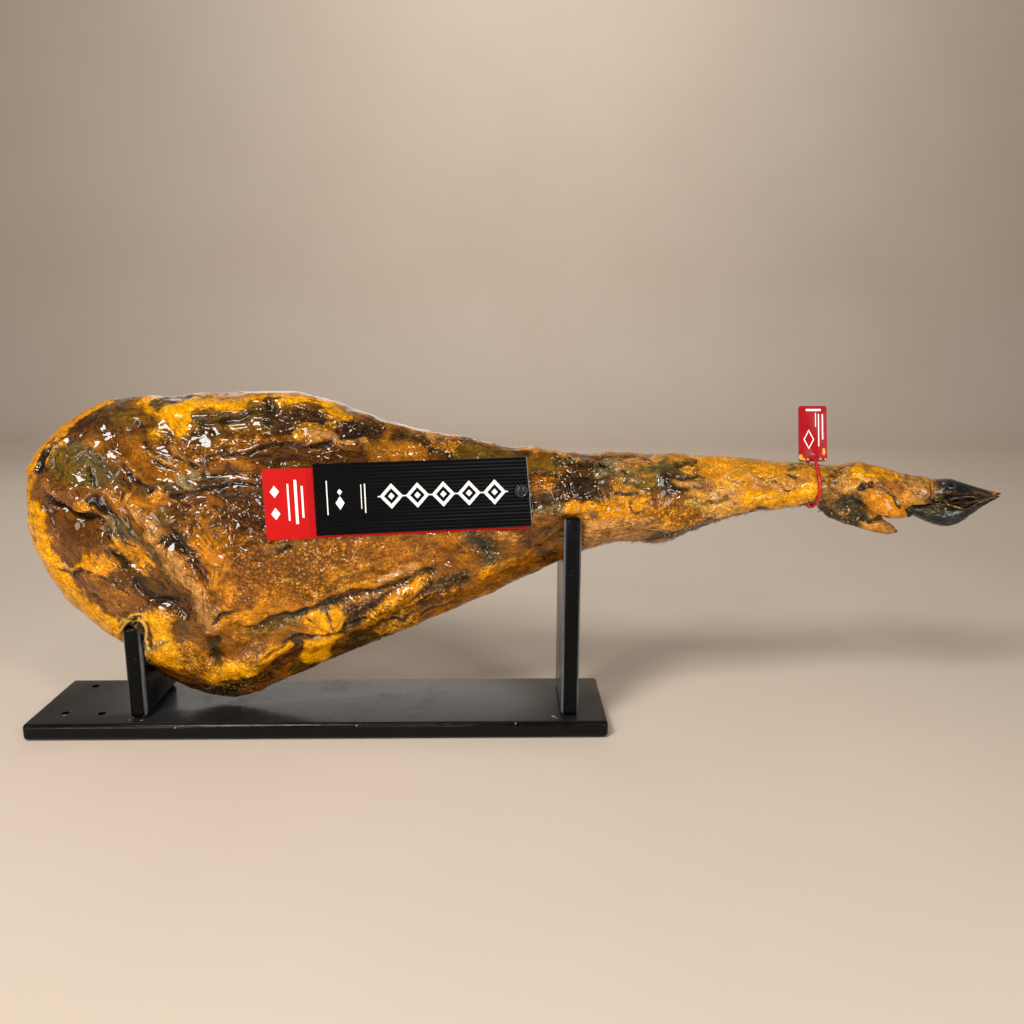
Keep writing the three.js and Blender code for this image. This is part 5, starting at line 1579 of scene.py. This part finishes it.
feed(shader, {"Base Color": blend(noise(place, 3, 5, 0.6), linear(206, 189, 172), linear(216, 201, 186)),
              "Roughness": 0.75})
wear(floor, finish)


WHITE = (1.0, 0.99, 0.97)
WARM = (1.0, 0.94, 0.84)
LAMPS = [
    ("key lamp", (-0.5, -1.0, 1.3), (0.1, 0, 0.15), 0.5, 20.5, (1.0, 0.98, 0.96)),
    ("fill lamp", (1.2, -1.2, 0.9), (0.1, 0, 0.15), 0.35, 3.6, (0.97, 0.99, 1.0)),
    ("front lamp", (0.05, -1.4, 0.32), (0.0, 0, 0.15), 0.16, 1.8, WHITE),
    ("back lamp", (-0.2, 1.4, 0.7), (0.0, 0, 0.2), 1.1, 3, WHITE),
    ("wall lamp", (0.3, 0.9, 1.9), (0.3, 2.2, 1.2), 1.0, 17, WHITE),
    ("glint left", (-0.5, -1.0, 0.55), (-0.05, 0, 0.18), 0.12, 1.5, WARM),
    ("glint right", (0.75, -1.0, 0.75), (0.2, 0, 0.2), 0.12, 1.7, WARM),
    ("low left", (-0.8, -1.2, 0.22), (-0.1, 0, 0.15), 0.38, 3.4, WARM),
    ("low right", (1.0, -1.1, 0.22), (0.1, 0, 0.15), 0.38, 3.6, WARM),
    ("glint over", (0.1, -0.6, 1.1), (0.1, 0, 0.2), 0.12, 1.0, WARM),
]
for name, spot, target, size, power, colour in LAMPS:
    light = bpy.data.lights.new(name, "AREA")
    light.shape = "DISK"
    light.size = size
    light.energy = power
    light.color = colour
    holder = placed(name, light)
    holder.location = spot
    holder.rotation_euler = (Vector(target) - Vector(spot)).to_track_quat("-Z", "Y").to_euler()

world = bpy.data.worlds.new("studio air")
bpy.context.scene.world = world
world.use_nodes = True
feed(world.node_tree.nodes["Background"], {"Color": (1.0, 0.96, 0.92, 1), "Strength": 0.14})
bpy.context.scene.view_settings.view_transform = "Standard"

# The camera stands where the photographer's stood: in front of the stand's right half, and looks down
# a little. Its place and turns are in metres and degrees, its view in pixels of the photo.
CAMERA_PLACE = (0.152, -0.769, 0.356)
YAW, PITCH, ROLL = (math.radians(a) for a in (1.14, 12.26, 0.19))
FOCAL_PIXELS = 905
PHOTO_PIXELS = 1024
ahead = Vector((math.sin(YAW) * math.cos(PITCH), math.cos(YAW) * math.cos(PITCH), -math.sin(PITCH)))
level = Vector((math.cos(YAW), -math.sin(YAW), 0))
upward = level.cross(ahead)
right = math.cos(ROLL) * level + math.sin(ROLL) * upward
above = math.cos(ROLL) * upward - math.sin(ROLL) * level
camera = placed("camera", bpy.data.cameras.new("camera"))
camera.data.sensor_width = 36
camera.data.lens = camera.data.sensor_width * FOCAL_PIXELS / PHOTO_PIXELS
camera.data.clip_start = 0.01
turned = Matrix((right, above, -ahead)).transposed().to_4x4()
camera.matrix_world = Matrix.Translation(CAMERA_PLACE) @ turned
bpy.context.scene.camera = camera
